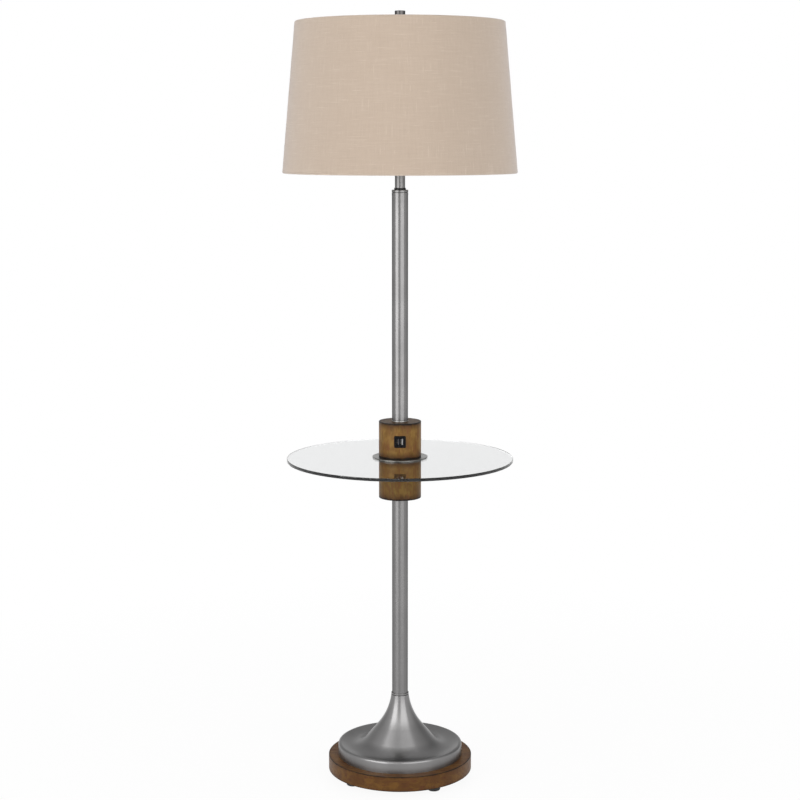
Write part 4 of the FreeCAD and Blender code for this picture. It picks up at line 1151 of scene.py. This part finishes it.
@dataclass(frozen=True)
class SeamlessFloor(Finish):
    """Painted studio floor.

    The eye sees plain white that runs into the white background, with the object's soft shadow.
    """

    name: str = "paint_white_studio_floor"
    paint: str = "#FAFAFA"
    seen_white: float = 0.93  # share of plain white near the object, where the floor keeps its shadow
    shadow_core: float = 0.3  # metres from the axis up to which that share holds
    shadow_reach: float = 1.6  # metres from the axis where the floor is all plain white

    def wire(self, tree: Tree, output: Node) -> Node:
        """Matt paint, mixed with plain white for the rays that show the background."""
        paint = add_node(tree, "ShaderNodeBsdfDiffuse", {"Color": linear(self.paint)})
        white = add_node(tree, "ShaderNodeEmission", {"Strength": 1.0})
        plain = spread(tree, off_axis(tree)[0], self.seen_white, 1.0, self.shadow_core, self.shadow_reach)
        share = reckon(tree, "MULTIPLY", seen_rays(tree), plain)
        return add_node(
            tree, "ShaderNodeMixShader", links={0: share, 1: paint.outputs[0], 2: white.outputs[0]})


def seen_rays(tree: Tree) -> Socket:
    """1 for the rays that show the background: to the camera, off metal and through glass."""
    path = add_node(tree, "ShaderNodeLightPath")
    mirrored = reckon(tree, "MAXIMUM", path.outputs["Is Glossy Ray"], path.outputs["Is Transmission Ray"])
    return reckon(tree, "MAXIMUM", path.outputs["Is Camera Ray"], mirrored)


@dataclass
class Studio:
    """White floor and background, softboxes, a dimmer room for metal to mirror, and the camera."""

    floor_half: float = 30.0
    ambient: float = 0.31
    ambient_side: float = 0.3  # how much more of it comes from +X, against the stronger left lamp
    back: float = 0.84  # what metal and glass see behind the object, away from the lamps
    ceiling: float = 0.66  # and overhead and high behind it
    ceiling_axis: Point = (0.1, 0.4, 0.91)
    far_left: float = 0.68  # and at the far sides of the room
    far_right: float = 0.55
    focal_px: float = 1767.0
    frame_px: float = 800.0
    sensor_mm: float = 36.0
    camera_back: float = 3.4636
    camera_height: float = 1.2875
    camera_pitch: float = 8.48

    def make(self) -> None:
        """Build the whole studio."""
        self._camera()
        self._floor()
        self._world()
        for lamp in (
            Softbox("softbox_left", degrees=-45.0, distance=2.6, height=1.5, width=2.0, tall=2.6,
                    radiance=2.6),
            Softbox("softbox_right", degrees=33.0, distance=2.7, height=1.8, width=2.6, tall=3.2,
                    radiance=1.7),
            Softbox("softbox_above", degrees=-4.0, distance=2.3, height=2.4, width=1.6, tall=0.8,
                    radiance=1.35, tilt=40.0),
            Softbox("softbox_behind", degrees=180.0, distance=2.8, height=2.9, width=2.4, tall=1.6,
                    radiance=3.6, tilt=30.0, mirrored=False),
        ):
            lamp.place()
        LOG.info("studio ready")

    def _camera(self) -> None:
        """Put the camera where the photograph was taken from."""
        lens = bpy.data.cameras.new("camera")
        lens.sensor_width = self.sensor_mm
        lens.lens = self.focal_px / self.frame_px * self.sensor_mm
        camera = put("camera", lens)
        camera.location = (0, -self.camera_back, self.camera_height)
        camera.rotation_euler = (math.radians(90 - self.camera_pitch), 0, 0)
        bpy.context.scene.camera = camera

    def _floor(self) -> None:
        """Lay the floor."""
        half = self.floor_half
        corners = [(-half, -half, 0), (half, -half, 0), (half, half, 0), (-half, half, 0)]
        mesh = bpy.data.meshes.new("floor")
        mesh.from_pydata(corners, [], [(0, 1, 2, 3)])
        mesh.materials.append(SeamlessFloor().material())
        floor = put("floor", mesh)

    def _world(self) -> None:
        """White background, less bright behind the object for metal, and a plain soft light."""
        world = bpy.data.worlds.new("studio")
        world.use_nodes = True
        tree = world.node_tree
        tree.nodes.clear()
        direction = add_node(tree, "ShaderNodeTexCoord").outputs["Generated"]
        parts = add_node(tree, "ShaderNodeSeparateXYZ", links={0: direction})
        path = add_node(tree, "ShaderNodeLightPath")
        dimmed = mix_numbers(tree, path.outputs["Is Glossy Ray"], 1.0, self._room(tree, direction, parts))
        sided = reckon(tree, "MULTIPLY_ADD", parts.outputs[0], self.ambient * self.ambient_side, self.ambient)
        strength = mix_numbers(tree, seen_rays(tree), sided, dimmed)
        shader = add_node(tree, "ShaderNodeBackground", {"Color": (1, 1, 1, 1)}, {"Strength": strength})
        output = add_node(tree, "ShaderNodeOutputWorld")
        tree.links.new(shader.outputs[0], output.inputs["Surface"])
        bpy.context.scene.world = world
        bpy.context.scene.view_settings.view_transform = "Standard"

    def _room(self, tree: Tree, direction: Socket, parts: Node) -> Socket:
        """Work out what metal mirrors of the room: less behind, overhead and at the far sides.

        Args:
            tree: The world's node tree.
            direction: The way that the ray goes.
            parts: Its X, Y and Z.

        Returns:
            The room's brightness that way.
        """
        across, back = parts.outputs[0], parts.outputs[1]
        behind = spread(tree, back, 1.0, self.back, 0.3, 0.9)
        settings = {"operation": "DOT_PRODUCT", 1: self.ceiling_axis}
        height = add_node(tree, "ShaderNodeVectorMath", settings, {0: direction})
        above = spread(tree, height.outputs["Value"], 1.0, self.ceiling, 0.55, 0.66)
        aside = spread(tree, reckon(tree, "ABSOLUTE", across), 0.0, 1.0, 0.25, 0.6)
        share = reckon(tree, "MULTIPLY", aside, spread(tree, back, 0.0, 1.0, -0.1, 0.5))
        far = spread(tree, across, self.far_left, self.far_right, -0.4, 0.4)
        sides = mix_numbers(tree, share, 1.0, far)
        return reckon(tree, "MULTIPLY", reckon(tree, "MULTIPLY", behind, above), sides)


def main() -> None:
    """Build the studio and every sub-assembly."""
    logging.basicConfig(level=logging.INFO, format="%(name)s: %(message)s")
    Studio().make()
    for group in (
        Base(), Stem(), TrayTable(), ChargingModule(), Neck(), Harp(), LampHolder(), Bulb(), Shade(),
        Finial(),
    ):
        group.make()


if __name__ == "__main__":
    main()
